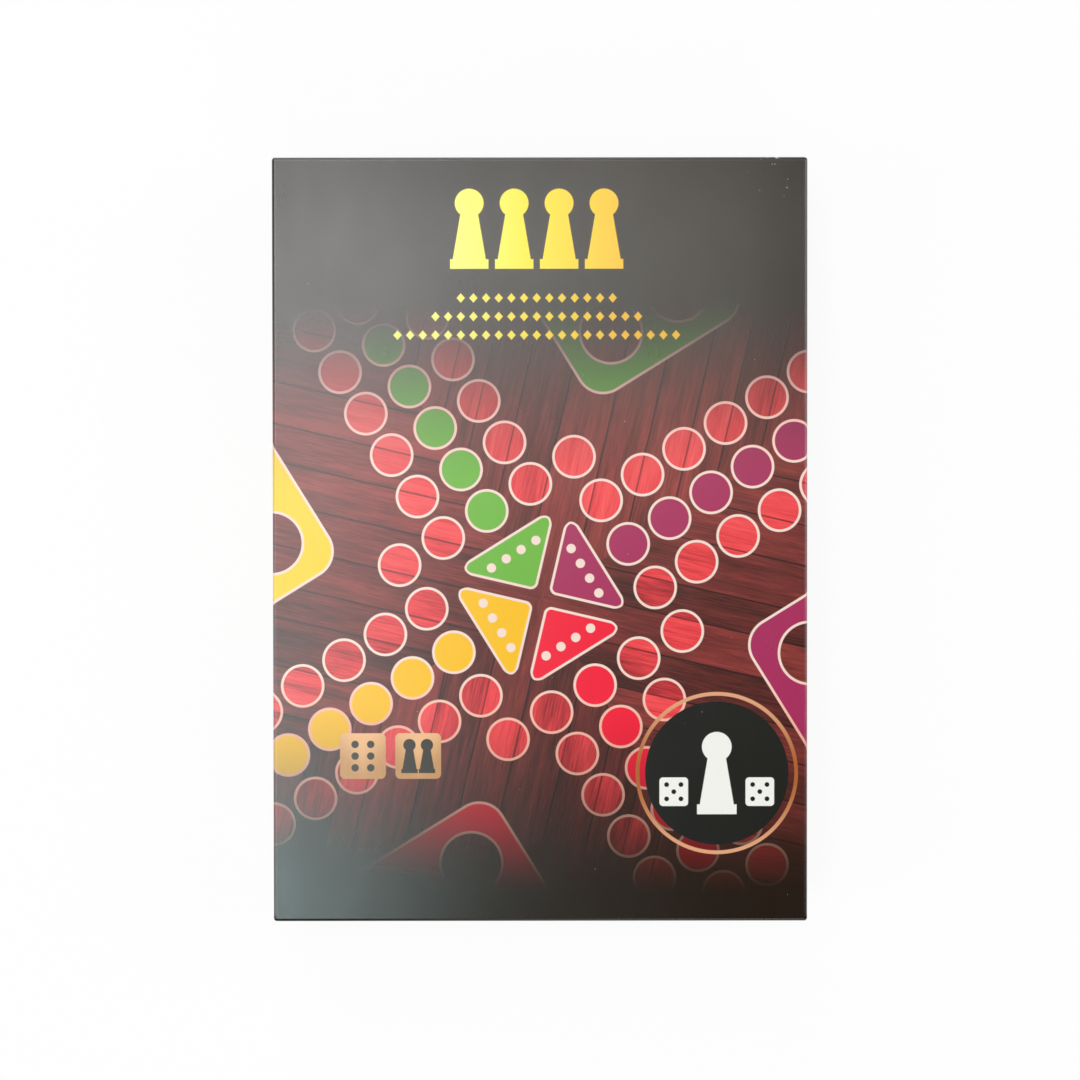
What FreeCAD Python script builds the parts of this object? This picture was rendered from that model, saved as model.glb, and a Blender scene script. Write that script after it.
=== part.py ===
# Boxed cross-and-circle board game: a wrapped two-piece box with a folded card insert, two racks of
# turned pawns with a die between them, a rules leaflet and a board that folds in half.
# +Z is up, +Y runs along the box, and the origin is the middle of the underside.
import FreeCAD, Part
import os
import Sketcher
from math import hypot, sqrt

# Driving dimensions in millimetres, and counts
DIMENSIONS = {
    "lid_width": 177.8,
    "lid_length": 254.0,
    "box_height": 44.5,
    "base_reveal": 5.0,
    "chipboard": 1.5,
    "wrap_paper": 0.25,
    "turn_in": 18.0,
    "fold_radius": 0.8,
    "stay_tape": 0.12,
    "stay_leg": 16.0,
    "bottom_sheet": 0.25,
    "bottom_margin": 3.0,
    "lid_fit": 0.6,
    "lid_seat": 0.1,
    "insert_card": 0.8,
    "insert_fit": 0.5,
    "insert_crease": 0.6,
    "trough_width": 46.2,
    "trough_wall_height": 34.0,
    "notch_radius": 12.0,
    "notch_depth": 10.0,
    "head_room": 2.0,
    "board_fit": 0.9,
    "board_core": 2.0,
    "board_print": 0.2,
    "board_backing": 0.2,
    "board_gap": 0.3,
    "board_overhang": 2.0,
    "crease_radius": 0.3,
    "crease_gap": 0.1,
    "leaflet_side_margin": 7.8,
    "leaflet_end_margin": 47.9,
    "leaflet_paper": 0.2,
    "leaflet_gap": 0.2,
    "rack_fit": 0.4,
    "rack_height": 12.0,
    "rack_row_pitch": 22.0,
    "rack_end_margin": 20.5,
    "rack_bar": 14.0,
    "pawn_base_radius": 6.3,
    "pawn_height": 25.0,
    "pawn_foot_height": 2.6,
    "pawn_foot_bevel": 0.6,
    "pawn_waist_radius": 5.0,
    "pawn_waist_sweep": 24.0,
    "pawn_neck_radius": 2.5,
    "pawn_head_radius": 4.4,
    "pawn_fit": 0.6,
    "die_side": 14.0,
    "die_round": 1.6,
    "die_fit": 0.6,
    "pip_radius": 1.25,
    "pip_depth": 0.45,
    "pip_spread": 3.6,
    "cut_overrun": 1.0,
}

# Counts and order of the pieces in the racks
PAWNS_PER_COLOUR = 4
PIP_SIDES = 8
RACK_ROWS = (("green", "yellow"), ("red", "purple"))

# How closely an edge has to lie along an axis or at a level to be picked for rounding
ALIGNED_SHARE = 0.999
SAME_LEVEL_SHARE = 0.0001

# Derived sizes, written as expressions of the driving dimensions
LINED_WALL = "(2 * dims.wrap_paper + dims.chipboard)"
BASE_WIDTH = f"(dims.lid_width - 2 * ({LINED_WALL} + dims.lid_fit))"
BASE_LENGTH = f"(dims.lid_length - 2 * ({LINED_WALL} + dims.lid_fit))"
LID_DEPTH = "(dims.box_height - dims.base_reveal)"
LID_CEILING = "(dims.box_height - dims.wrap_paper - dims.chipboard)"
BASE_RIM = f"({LID_CEILING} - dims.lid_seat)"
BASE_DEPTH = f"({BASE_RIM} - dims.bottom_sheet)"
BASE_FLOOR = "(dims.bottom_sheet + dims.wrap_paper + dims.chipboard)"
INNER_HALF_WIDTH = f"({BASE_WIDTH} / 2 - {LINED_WALL})"
INNER_HALF_LENGTH = f"({BASE_LENGTH} / 2 - {LINED_WALL})"

PANEL_STACK = "(dims.board_core + dims.board_print + dims.board_backing)"
LEAFLET_STACK = "(2 * dims.leaflet_paper + dims.leaflet_gap)"
BOARD_STACK = f"(2 * {PANEL_STACK} + dims.board_gap)"
DECK_TOP = f"({LID_CEILING} - dims.head_room - {BOARD_STACK} - {LEAFLET_STACK})"

INSERT_HALF_WIDTH = f"({INNER_HALF_WIDTH} - dims.insert_fit)"
INSERT_HALF_LENGTH = f"({INNER_HALF_LENGTH} - dims.insert_fit)"
TROUGH_RIGHT = f"({INSERT_HALF_WIDTH} - dims.insert_card)"
STEP_X = f"({TROUGH_RIGHT} - dims.trough_width)"
TROUGH_FLOOR = f"({BASE_FLOOR} + dims.insert_card)"
TROUGH_CENTRE = f"({TROUGH_RIGHT} - dims.trough_width / 2)"
RACK_HALF_WIDTH = "(dims.trough_width / 2 - dims.rack_fit)"
RACK_DECK = f"({TROUGH_FLOOR} + dims.rack_height)"
PAWN_ROOM = "(dims.pawn_base_radius + dims.pawn_fit)"
DIE_ROOM = "(dims.die_side / 2 + dims.die_fit)"
SLOT_START = f"({DIE_ROOM} + dims.rack_bar)"
SLOT_END = f"({INSERT_HALF_LENGTH} - dims.rack_end_margin)"
RACK_LENGTH = f"({INSERT_HALF_LENGTH} - {DIE_ROOM})"
RACK_MIDDLE = f"(({INSERT_HALF_LENGTH} + {DIE_ROOM}) / 2)"
PAWN_PITCH = f"(({SLOT_END} - {SLOT_START} - 2 * {PAWN_ROOM}) / {PAWNS_PER_COLOUR - 1})"

PANEL_HALF_LENGTH = f"({INNER_HALF_LENGTH} - dims.board_fit)"
CREASE_ROOM = "(2 * dims.crease_radius + dims.crease_gap)"
PANEL_FOLD_X = f"(dims.board_fit + {CREASE_ROOM} - {INNER_HALF_WIDTH})"
PANEL_FREE_X = f"({STEP_X} + dims.board_overhang)"
CREASE_X = f"({PANEL_FOLD_X} - dims.crease_radius - dims.crease_gap)"
LOWER_PANEL_Z = f"({DECK_TOP} + {LEAFLET_STACK})"
CREASE_Z = f"({LOWER_PANEL_Z} + {PANEL_STACK} + dims.board_gap / 2)"

doc = FreeCAD.newDocument("board_game")
sheet = doc.addObject("Spreadsheet::Sheet", "dims")
for row, (alias, value) in enumerate(DIMENSIONS.items(), start=1):
    sheet.set(f"A{row}", alias)
    sheet.set(f"B{row}", str(value))
    sheet.setAlias(f"B{row}", alias)
doc.recompute()

sub_parts = []


def number(expression):
    """Value of an expression of the driving dimensions."""
    return float(sheet.evalExpression(str(expression)))


def bind(item, sizes):
    """Tie each named property of a document object to an expression."""
    for name, expression in sizes.items():
        item.setExpression(name, str(expression))
    return item


def keep(item, label):
    """List a finished document object as a sub-part under its label."""
    item.Label = label
    sub_parts.append(item)
    return item


def new_body(name):
    """Empty body for one piece."""
    return doc.addObject("PartDesign::Body", name)


def new_sketch(body, name, role, lift="0"):
    """Empty sketch on one of the body's own origin planes, lifted along its normal."""
    sketch = body.newObject("Sketcher::SketchObject", name)
    plane = [item for item in body.Origin.OriginFeatures if item.Role == role][0]
    sketch.AttachmentSupport = [(plane, "")]
    sketch.MapMode = "FlatFace"
    return bind(sketch, {"AttachmentOffset.Base.z": lift})


def dimension(sketch, expression, kind, *where):
    """Constraint of a sketch, tied to an expression."""
    index = sketch.addConstraint(Sketcher.Constraint(kind, *where, number(expression)))
    sketch.setExpression(f"Constraints[{index}]", str(expression))


def arc_between(start, end, radius, turn):
    """Arc shorter than a half circle; turn is 1 to bend left on the way and -1 to bend right."""
    chord = end - start
    reach = sqrt(max(radius * radius - chord.Length * chord.Length / 4, 0))
    across = FreeCAD.Vector(-chord.y, chord.x, 0).normalize()
    centre = (start + end) / 2 + across * reach * turn
    crown = centre - across * radius * turn
    return Part.Arc(start, crown, end)


def outline(body, name, role, steps, lift="0"):
    """Closed sketch through the steps: (x, y), or (x, y, radius, turn) to reach a point on an arc."""
    sketch = new_sketch(body, name, role, lift)
    points = [FreeCAD.Vector(number(step[0]), number(step[1]), 0) for step in steps]
    ends = []
    for index, step in enumerate(steps):
        start = points[index - 1]
        end = points[index]
        if len(step) == 2:
            piece = sketch.addGeometry(Part.LineSegment(start, end))
            ends.append((piece, 1, 2))
        else:
            radius, turn = step[2:]
            piece = sketch.addGeometry(arc_between(start, end, number(radius), turn))
            ends.append((piece, 1, 2) if turn > 0 else (piece, 2, 1))
    for index, (piece, _, last) in enumerate(ends):
        following, following_first, _ = ends[(index + 1) % len(ends)]
        sketch.addConstraint(Sketcher.Constraint("Coincident", piece, last, following, following_first))
    for (piece, _, last), step in zip(ends, steps):
        dimension(sketch, step[0], "DistanceX", -1, 1, piece, last)
        dimension(sketch, step[1], "DistanceY", -1, 1, piece, last)
        if len(step) > 2:
            dimension(sketch, step[2], "Radius", piece)
    return sketch


def rectangle(left, right, bottom, top):
    """Corner points of a rectangle, in order."""
    return [(left, bottom), (right, bottom), (right, top), (left, top)]


def pad(body, sketch, length, middle=False, downward=False):
    """Pad of a sketch by a bound length, to one side or evenly to both."""
    feature = body.newObject("PartDesign::Pad", f"{sketch.Name}_pad")
    feature.Profile = sketch
    feature.Midplane = middle
    feature.Reversed = downward
    bind(feature, {"Length": length})
    doc.recompute()
    return feature


def pocket(body, sketch, length, upward=False):
    """Pocket of a sketch by a bound length, which has to take material away."""
    before = body.Shape.Volume
    feature = body.newObject("PartDesign::Pocket", f"{sketch.Name}_pocket")
    feature.Profile = sketch
    feature.Reversed = upward
    bind(feature, {"Length": length})
    doc.recompute()
    if body.Shape.Volume >= before:
        raise RuntimeError(f"{feature.Name} cuts nothing")
    return feature


def round_edges(body, base, name, radius, chosen):
    """Fillet of those edges of a feature that the chosen test accepts."""
    edges = [f"Edge{index}" for index, edge in enumerate(base.Shape.Edges, start=1) if chosen(edge)]
    feature = body.newObject("PartDesign::Fillet", name)
    feature.Base = (base, edges)
    bind(feature, {"Radius": radius})
    doc.recompute()
    return feature


def runs_along(edge, axis):
    """Whether a straight edge runs along a unit axis."""
    if len(edge.Vertexes) < 2:
        return False
    chord = edge.Vertexes[1].Point - edge.Vertexes[0].Point
    return abs(chord.normalize().dot(axis)) > ALIGNED_SHARE


def cut(name, base, tool):
    """Boolean difference of two document objects."""
    item = doc.addObject("Part::Cut", name)
    item.Base = base
    item.Tool = tool
    return item


def shell_block(name, width, length, face, depth, radius, sense):
    """Closed block of a tray, rounded round its closed face and down its four corners."""
    body = new_body(name)
    half_width = f"({width}) / 2"
    half_length = f"({length}) / 2"
    corners = rectangle(f"-{half_width}", half_width, f"-{half_length}", half_length)
    sketch = outline(body, f"{name}_plan", "XY_Plane", corners, face)
    block = pad(body, sketch, depth, downward=sense < 0)
    level = number(face)
    up = FreeCAD.Vector(0, 0, 1)

    def folded(edge):
        return runs_along(edge, up) or abs(edge.CenterOfMass.z - level) < edge.Length * SAME_LEVEL_SHARE

    round_edges(body, block, f"{name}_folds", radius, folded)
    return body


def corner_stays(name, width, length, start, height, sense):
    """Four strips of tape, each bent round one corner of a chipboard tray."""
    strips = []
    half_width = f"({width}) / 2"
    half_length = f"({length}) / 2"
    outer_radius = "(dims.fold_radius + dims.stay_tape)"
    for side in (1, -1):
        for end in (1, -1):
            body = new_body(f"{name}_{len(strips) + 1}")

            def at(inward_x, inward_y):
                return f"{side} * ({half_width} - ({inward_x}))", f"{end} * ({half_length} - ({inward_y}))"

            turn = side * end
            steps = [
                at("0", "dims.stay_leg"),
                at("0", "dims.fold_radius"),
                at("dims.fold_radius", "0") + ("dims.fold_radius", turn),
                at("dims.stay_leg", "0"),
                at("dims.stay_leg", "-dims.stay_tape"),
                at("dims.fold_radius", "-dims.stay_tape"),
                at("-dims.stay_tape", "dims.fold_radius") + (outer_radius, -turn),
                at("-dims.stay_tape", "dims.stay_leg"),
            ]
            sketch = outline(body, f"{body.Name}_plan", "XY_Plane", steps, start)
            pad(body, sketch, height, downward=sense < 0)
            strips.append(body)
    group = doc.addObject("Part::Compound", f"{name}_group")
    group.Links = strips
    return group


def wrapped_tray(prefix, width, length, face, depth, sense):
    """Chipboard tray, its corner stays and its paper wrap; sense is 1 to open upward, -1 downward."""
    board_width = f"({width} - 2 * dims.wrap_paper)"
    board_length = f"({length} - 2 * dims.wrap_paper)"
    board_face = f"({face} + {sense} * dims.wrap_paper)"
    board_depth = f"({depth} - 2 * dims.wrap_paper)"
    inner_face = f"({board_face} + {sense} * dims.chipboard)"
    inner_width = f"({board_width} - 2 * dims.chipboard)"
    inner_length = f"({board_length} - 2 * dims.chipboard)"
    inner_plan = rectangle(f"-{inner_width} / 2", f"{inner_width} / 2",
                           f"-{inner_length} / 2", f"{inner_length} / 2")

    board = shell_block(f"{prefix}_board", board_width, board_length, board_face, board_depth,
                        "dims.fold_radius", sense)
    hollow = outline(board, f"{prefix}_board_hollow", "XY_Plane", inner_plan, inner_face)
    pocket(board, hollow, f"{board_depth} - dims.chipboard + dims.cut_overrun", upward=sense > 0)
    keep(board, f"{prefix}_board")

    stay_start = f"({board_face} + {sense} * dims.fold_radius)"
    stays = corner_stays(f"{prefix}_stay", board_width, board_length, stay_start,
                         f"{board_depth} - dims.fold_radius", sense)
    keep(stays, f"{prefix}_corner_stays")

    skin = shell_block(f"{prefix}_skin", width, length, face, depth,
                       "dims.fold_radius + dims.wrap_paper", sense)
    inside = outline(skin, f"{prefix}_skin_hollow", "XY_Plane", inner_plan, inner_face)
    pocket(skin, inside, f"{depth} - dims.wrap_paper - dims.chipboard - dims.turn_in", upward=sense > 0)
    lined_plan = rectangle(f"dims.wrap_paper - {inner_width} / 2", f"{inner_width} / 2 - dims.wrap_paper",
                           f"dims.wrap_paper - {inner_length} / 2", f"{inner_length} / 2 - dims.wrap_paper")
    mouth = outline(skin, f"{prefix}_skin_mouth", "XY_Plane", lined_plan,
                    f"{face} + {sense} * ({depth} - dims.turn_in)")
    pocket(skin, mouth, "dims.turn_in + dims.cut_overrun", upward=sense > 0)
    keep(cut(f"{prefix}_wrap_cut", cut(f"{prefix}_skin_on_board", skin, board), stays), f"{prefix}_wrap")


def bottom_sheet():
    """Plain paper glued over the underside, a margin in from the edges."""
    sheet_body = new_body("base_bottom_sheet")
    half_width = f"({BASE_WIDTH} / 2 - dims.bottom_margin)"
    half_length = f"({BASE_LENGTH} / 2 - dims.bottom_margin)"
    corners = rectangle(f"-{half_width}", half_width, f"-{half_length}", half_length)
    pad(sheet_body, outline(sheet_body, "bottom_plan", "XY_Plane", corners), "dims.bottom_sheet")
    keep(sheet_body, "base_bottom_sheet")


def insert_platform():
    """Folded card that carries the board on a deck and drops to a trough beside it."""
    body = new_body("insert_platform")
    left = f"-{INSERT_HALF_WIDTH}"
    under_deck = f"({DECK_TOP} - dims.insert_card)"
    trough_top = f"({BASE_FLOOR} + dims.trough_wall_height)"
    steps = [
        (left, BASE_FLOOR),
        (f"{left} + dims.insert_card", BASE_FLOOR),
        (f"{left} + dims.insert_card", under_deck),
        (f"{STEP_X} - dims.insert_card", under_deck),
        (f"{STEP_X} - dims.insert_card", BASE_FLOOR),
        (INSERT_HALF_WIDTH, BASE_FLOOR),
        (INSERT_HALF_WIDTH, trough_top),
        (TROUGH_RIGHT, trough_top),
        (TROUGH_RIGHT, TROUGH_FLOOR),
        (STEP_X, TROUGH_FLOOR),
        (STEP_X, DECK_TOP),
        (left, DECK_TOP),
    ]
    profile = outline(body, "insert_profile", "XZ_Plane", steps)
    card = pad(body, profile, f"2 * {INSERT_HALF_LENGTH}", middle=True)
    along = FreeCAD.Vector(0, 1, 0)
    outer_folds = ((left, DECK_TOP), (STEP_X, DECK_TOP),
                   (f"{STEP_X} - dims.insert_card", BASE_FLOOR), (INSERT_HALF_WIDTH, BASE_FLOOR))
    places = [(number(x), number(z)) for x, z in outer_folds]
    near = number("dims.insert_card") / 2

    def outer_fold(edge):
        middle = edge.CenterOfMass
        return runs_along(edge, along) and any(hypot(middle.x - x, middle.z - z) < near for x, z in places)

    round_edges(body, card, "insert_folds", "dims.insert_crease", outer_fold)
    notch = new_sketch(body, "finger_notch", "XY_Plane", DECK_TOP)
    middle = FreeCAD.Vector(number(STEP_X), 0, 0)
    rim = notch.addGeometry(Part.Circle(middle, FreeCAD.Vector(0, 0, 1), number("dims.notch_radius")))
    dimension(notch, STEP_X, "DistanceX", -1, 1, rim, 3)
    dimension(notch, "0", "DistanceY", -1, 1, rim, 3)
    dimension(notch, "dims.notch_radius", "Radius", rim)
    pocket(body, notch, "dims.notch_depth")
    keep(body, "insert_platform")


def row_x(row):
    """Expression for the middle line of one row of the racks."""
    return f"({TROUGH_CENTRE} + {2 * row - 1} * dims.rack_row_pitch / 2)"


def pawn_y(group, index):
    """Expression for the place of one pawn along its slot, before or past the dice."""
    return f"({2 * group - 1} * ({SLOT_START} + {PAWN_ROOM} + {index} * {PAWN_PITCH}))"


def piece_rack(label, side):
    """Folded card strip with a slot for each of two sets of pawns, at one side of the die."""
    body = new_body(label)
    left = f"({TROUGH_CENTRE} - {RACK_HALF_WIDTH})"
    right = f"({TROUGH_CENTRE} + {RACK_HALF_WIDTH})"
    under_deck = f"({RACK_DECK} - dims.insert_card)"
    steps = [
        (left, TROUGH_FLOOR),
        (f"{left} + dims.insert_card", TROUGH_FLOOR),
        (f"{left} + dims.insert_card", under_deck),
        (f"{right} - dims.insert_card", under_deck),
        (f"{right} - dims.insert_card", TROUGH_FLOOR),
        (right, TROUGH_FLOOR),
        (right, RACK_DECK),
        (left, RACK_DECK),
    ]
    profile = outline(body, f"{label}_profile", "XZ_Plane", steps)
    card = pad(body, profile, RACK_LENGTH, middle=True)
    along = FreeCAD.Vector(0, 1, 0)
    top = number(RACK_DECK)
    near = number("dims.insert_card") / 2

    def outer_fold(edge):
        return runs_along(edge, along) and abs(edge.CenterOfMass.z - top) < near

    round_edges(body, card, f"{label}_folds", "dims.insert_crease", outer_fold)
    ends = [f"({side} * ({end} - {RACK_MIDDLE}))" for end in (SLOT_START, SLOT_END)[::side]]
    for row in range(len(RACK_ROWS)):
        middle = row_x(row)
        corners = rectangle(f"{middle} - {PAWN_ROOM}", f"{middle} + {PAWN_ROOM}", *ends)
        slot = outline(body, f"{label}_slot_{row + 1}", "XY_Plane", corners, RACK_DECK)
        pocket(body, slot, "dims.insert_card + dims.cut_overrun")
    bind(body, {"Placement.Base.y": f"{side} * {RACK_MIDDLE}"})
    keep(body, label)


def rules_leaflet():
    """Sheet of paper folded once, lying on the deck under the board."""
    body = new_body("rules_leaflet")
    outer = f"({LEAFLET_STACK} / 2)"
    inner = "(dims.leaflet_gap / 2)"
    bend = f"(dims.leaflet_side_margin + {outer} - {INSERT_HALF_WIDTH})"
    edge = f"({STEP_X} - dims.leaflet_side_margin)"
    middle = f"({DECK_TOP} + {outer})"
    steps = [
        (edge, DECK_TOP),
        (edge, f"{DECK_TOP} + dims.leaflet_paper"),
        (bend, f"{middle} - {inner}"),
        (f"{bend} - {inner}", middle, inner, -1),
        (bend, f"{middle} + {inner}", inner, -1),
        (edge, f"{middle} + {inner}"),
        (edge, f"{DECK_TOP} + {LEAFLET_STACK}"),
        (bend, f"{DECK_TOP} + {LEAFLET_STACK}"),
        (f"{bend} - {outer}", middle, outer, 1),
        (bend, DECK_TOP, outer, 1),
    ]
    profile = outline(body, "leaflet_profile", "XZ_Plane", steps)
    pad(body, profile, f"2 * ({INSERT_HALF_LENGTH} - dims.leaflet_end_margin)", middle=True)
    keep(body, "rules_leaflet")


def board_panel(prefix, outer_z, sense):
    """One half of the board, from its backing at outer_z towards its print; sense is the print's side."""
    core_z = f"({outer_z} + {sense} * dims.board_backing)"
    plan = rectangle(PANEL_FOLD_X, PANEL_FREE_X, f"-{PANEL_HALF_LENGTH}", PANEL_HALF_LENGTH)
    edge = "dims.board_print"
    core_plan = rectangle(PANEL_FOLD_X, f"{PANEL_FREE_X} - {edge}",
                          f"{edge} - {PANEL_HALF_LENGTH}", f"{PANEL_HALF_LENGTH} - {edge}")

    backing = new_body(f"{prefix}_backing")
    pad(backing, outline(backing, f"{prefix}_backing_plan", "XY_Plane", plan, outer_z),
        "dims.board_backing", downward=sense < 0)
    keep(backing, f"{prefix}_backing")

    core = new_body(f"{prefix}_core")
    pad(core, outline(core, f"{prefix}_core_plan", "XY_Plane", core_plan, core_z),
        "dims.board_core", downward=sense < 0)
    keep(core, f"{prefix}_core")

    face = new_body(f"{prefix}_print")
    pad(face, outline(face, f"{prefix}_print_plan", "XY_Plane", plan, core_z),
        "dims.board_core + dims.board_print", downward=sense < 0)
    room_plan = rectangle(f"{PANEL_FOLD_X} - dims.cut_overrun", f"{PANEL_FREE_X} - {edge}",
                          f"{edge} - {PANEL_HALF_LENGTH}", f"{PANEL_HALF_LENGTH} - {edge}")
    room = outline(face, f"{prefix}_print_room", "XY_Plane", room_plan,
                   f"{core_z} - {sense} * dims.cut_overrun")
    pocket(face, room, "dims.board_core + dims.cut_overrun", upward=sense > 0)
    keep(face, f"{prefix}_print")


def board_crease():
    """Rolled paper of the fold, on the hinge axis between the two halves."""
    crease = doc.addObject("Part::Cylinder", "board_crease")
    bind(crease, {"Radius": "dims.crease_radius", "Height": f"2 * {PANEL_HALF_LENGTH}"})
    crease.Placement.Rotation = FreeCAD.Rotation(FreeCAD.Vector(1, 0, 0), -90)
    bind(crease, {"Placement.Base.x": CREASE_X, "Placement.Base.y": f"-{PANEL_HALF_LENGTH}",
                  "Placement.Base.z": CREASE_Z})
    keep(crease, "board_crease")


def pawn(label, x, y):
    """Turned wooden pawn: a bevelled foot, a hollowed waist and a ball head."""
    body = new_body(label)
    top = "dims.pawn_height"
    head = "dims.pawn_head_radius"
    neck = "dims.pawn_neck_radius"
    foot = "dims.pawn_base_radius"
    foot_top = "dims.pawn_foot_height"
    bevel = "dims.pawn_foot_bevel"
    neck_z = f"({top} - {head} - sqrt({head} * {head} - {neck} * {neck}))"
    steps = [
        ("0", "0"),
        (foot, "0"),
        (foot, f"{foot_top} - {bevel}"),
        ("dims.pawn_waist_radius", foot_top),
        (neck, neck_z, "dims.pawn_waist_sweep", -1),
        ("0", top, head, 1),
    ]
    sketch = outline(body, f"{label}_profile", "XZ_Plane", steps)
    turned = body.newObject("PartDesign::Revolution", f"{label}_turned")
    turned.Profile = sketch
    turned.ReferenceAxis = (sketch, ["V_Axis"])
    turned.Angle = 360
    bind(body, {"Placement.Base.x": x, "Placement.Base.y": y, "Placement.Base.z": TROUGH_FLOOR})
    keep(body, label)


def pip_places(count):
    """Places of the pips of one die face, in units of the spread."""
    corners = [(-1, -1), (1, 1), (-1, 1), (1, -1), (-1, 0), (1, 0)]
    even = corners[:count - count % 2]
    return even + [(0, 0)] * (count % 2)


def die(label, x, y):
    """Wooden die with rounded edges and drilled pips; opposite faces add up to seven."""
    block = new_body(f"{label}_block")
    half = "dims.die_side / 2"
    square = rectangle(f"-{half}", half, f"-{half}", half)
    sketch = outline(block, f"{label}_plan", "XY_Plane", square, f"-{half}")
    cube = pad(block, sketch, "dims.die_side")
    round_edges(block, cube, f"{label}_rounding", "dims.die_round", lambda edge: True)

    drills = []
    faces = ((0, 1, 3), (0, -1, 4), (1, 1, 2), (1, -1, 5), (2, 1, 6), (2, -1, 1))
    for axis, side, count in faces:
        outward = [0, 0, 0]
        outward[axis] = side
        for first, second in pip_places(count):
            place = [f"{first} * dims.pip_spread", f"{second} * dims.pip_spread"]
            place.insert(axis, f"{side} * (dims.die_side / 2 - dims.pip_depth)")
            drill = doc.addObject("Part::Prism", f"{label}_drill_{len(drills) + 1}")
            drill.Polygon = PIP_SIDES
            drill.Placement.Rotation = FreeCAD.Rotation(FreeCAD.Vector(0, 0, 1), FreeCAD.Vector(*outward))
            bind(drill, {"Circumradius": "dims.pip_radius", "Height": "dims.pip_depth + dims.cut_overrun",
                         "Placement.Base.x": place[0], "Placement.Base.y": place[1],
                         "Placement.Base.z": place[2]})
            drills.append(drill)
    pips = doc.addObject("Part::Compound", f"{label}_pips")
    pips.Links = drills
    body = cut(label, block, pips)
    bind(body, {"Placement.Base.x": x, "Placement.Base.y": y,
                "Placement.Base.z": f"{TROUGH_FLOOR} + dims.die_side / 2"})
    keep(body, label)


wrapped_tray("lid", "dims.lid_width", "dims.lid_length", "dims.box_height", LID_DEPTH, -1)
wrapped_tray("base", BASE_WIDTH, BASE_LENGTH, "dims.bottom_sheet", BASE_DEPTH, 1)
bottom_sheet()
insert_platform()
piece_rack("piece_rack_near", -1)
piece_rack("piece_rack_far", 1)
rules_leaflet()
board_panel("board_lower", LOWER_PANEL_Z, 1)
board_panel("board_upper", f"({LOWER_PANEL_Z} + {BOARD_STACK})", -1)
board_crease()
die("die", TROUGH_CENTRE, "0")
for row, colours in enumerate(RACK_ROWS):
    for group, colour in enumerate(colours):
        for index in range(PAWNS_PER_COLOUR):
            pawn(f"pawn_{colour}_{index + 1}", row_x(row), pawn_y(group, index))

doc.recompute()
for item in doc.Objects:
    if "Invalid" in item.State or "Error" in item.State:
        raise RuntimeError(f"{item.Name} failed: {item.State}")
for item in sub_parts:
    if item.Shape.isNull() or not item.Shape.isValid():
        raise RuntimeError(f"{item.Label} has no valid shape")

os.makedirs("parts", exist_ok=True)
for item in sub_parts:
    item.Shape.exportStep(f"parts/{item.Label}.step")
    print(item.Label, len(item.Shape.Solids), round(item.Shape.Volume, 2))
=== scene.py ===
"""Looks of a boxed ludo game: wrapped lid and base, card insert, racks, leaflet, board, pawns and die."""
import logging
import math
from dataclasses import dataclass
from enum import Enum
from functools import partial, reduce
from typing import Callable, Optional, Sequence, Union

import bmesh
import bpy
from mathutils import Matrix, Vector


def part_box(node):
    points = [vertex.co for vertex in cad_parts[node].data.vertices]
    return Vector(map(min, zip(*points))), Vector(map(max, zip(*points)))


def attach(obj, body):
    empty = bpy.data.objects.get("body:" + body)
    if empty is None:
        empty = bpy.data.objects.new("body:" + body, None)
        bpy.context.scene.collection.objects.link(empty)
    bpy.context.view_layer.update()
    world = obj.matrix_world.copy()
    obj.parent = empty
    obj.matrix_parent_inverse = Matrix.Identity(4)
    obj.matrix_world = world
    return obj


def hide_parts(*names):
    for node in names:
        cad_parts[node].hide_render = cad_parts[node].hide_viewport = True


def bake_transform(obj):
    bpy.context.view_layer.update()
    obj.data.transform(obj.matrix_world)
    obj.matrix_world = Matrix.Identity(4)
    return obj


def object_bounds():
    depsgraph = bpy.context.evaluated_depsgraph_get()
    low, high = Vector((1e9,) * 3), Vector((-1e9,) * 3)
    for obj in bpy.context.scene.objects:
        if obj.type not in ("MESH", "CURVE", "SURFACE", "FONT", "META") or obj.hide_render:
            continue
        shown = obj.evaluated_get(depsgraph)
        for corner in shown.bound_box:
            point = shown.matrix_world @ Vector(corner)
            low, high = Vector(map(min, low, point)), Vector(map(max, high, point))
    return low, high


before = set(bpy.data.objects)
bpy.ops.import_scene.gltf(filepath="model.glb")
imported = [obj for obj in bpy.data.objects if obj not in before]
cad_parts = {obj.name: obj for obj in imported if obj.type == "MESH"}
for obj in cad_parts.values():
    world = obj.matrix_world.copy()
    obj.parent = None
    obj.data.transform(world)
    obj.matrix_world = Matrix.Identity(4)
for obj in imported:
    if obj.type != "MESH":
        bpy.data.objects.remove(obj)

CAD_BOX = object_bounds()
MM = 0.001
SQUARE_HALF = math.sqrt(0.5)

log = logging.getLogger("boxed_game")

Colour = tuple[float, float, float, float]
Value = Union["Field", float]
Input = Union["Field", float, Sequence[float]]
Point = tuple[float, float]
Spot = tuple[float, float, float]
Material = bpy.types.Material


def ink(red: float, green: float, blue: float) -> Colour:
    """Linear colour of an ink.

    Args:
        red: Red as a display shows it, where 255 is its full light.
        green: Green, likewise.
        blue: Blue, likewise.

    Returns:
        The colour in linear light, with full cover.
    """
    shares = [step / 255 for step in (red, green, blue)]
    linear = [s / 12.92 if s <= 0.04045 else ((s + 0.055) / 1.055) ** 2.4 for s in shares]
    return linear[0], linear[1], linear[2], 1.0


def deepened(colour: Colour, share: float) -> Colour:
    """A colour with only a share of its light."""
    return colour[0] * share, colour[1] * share, colour[2] * share, 1.0


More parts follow.
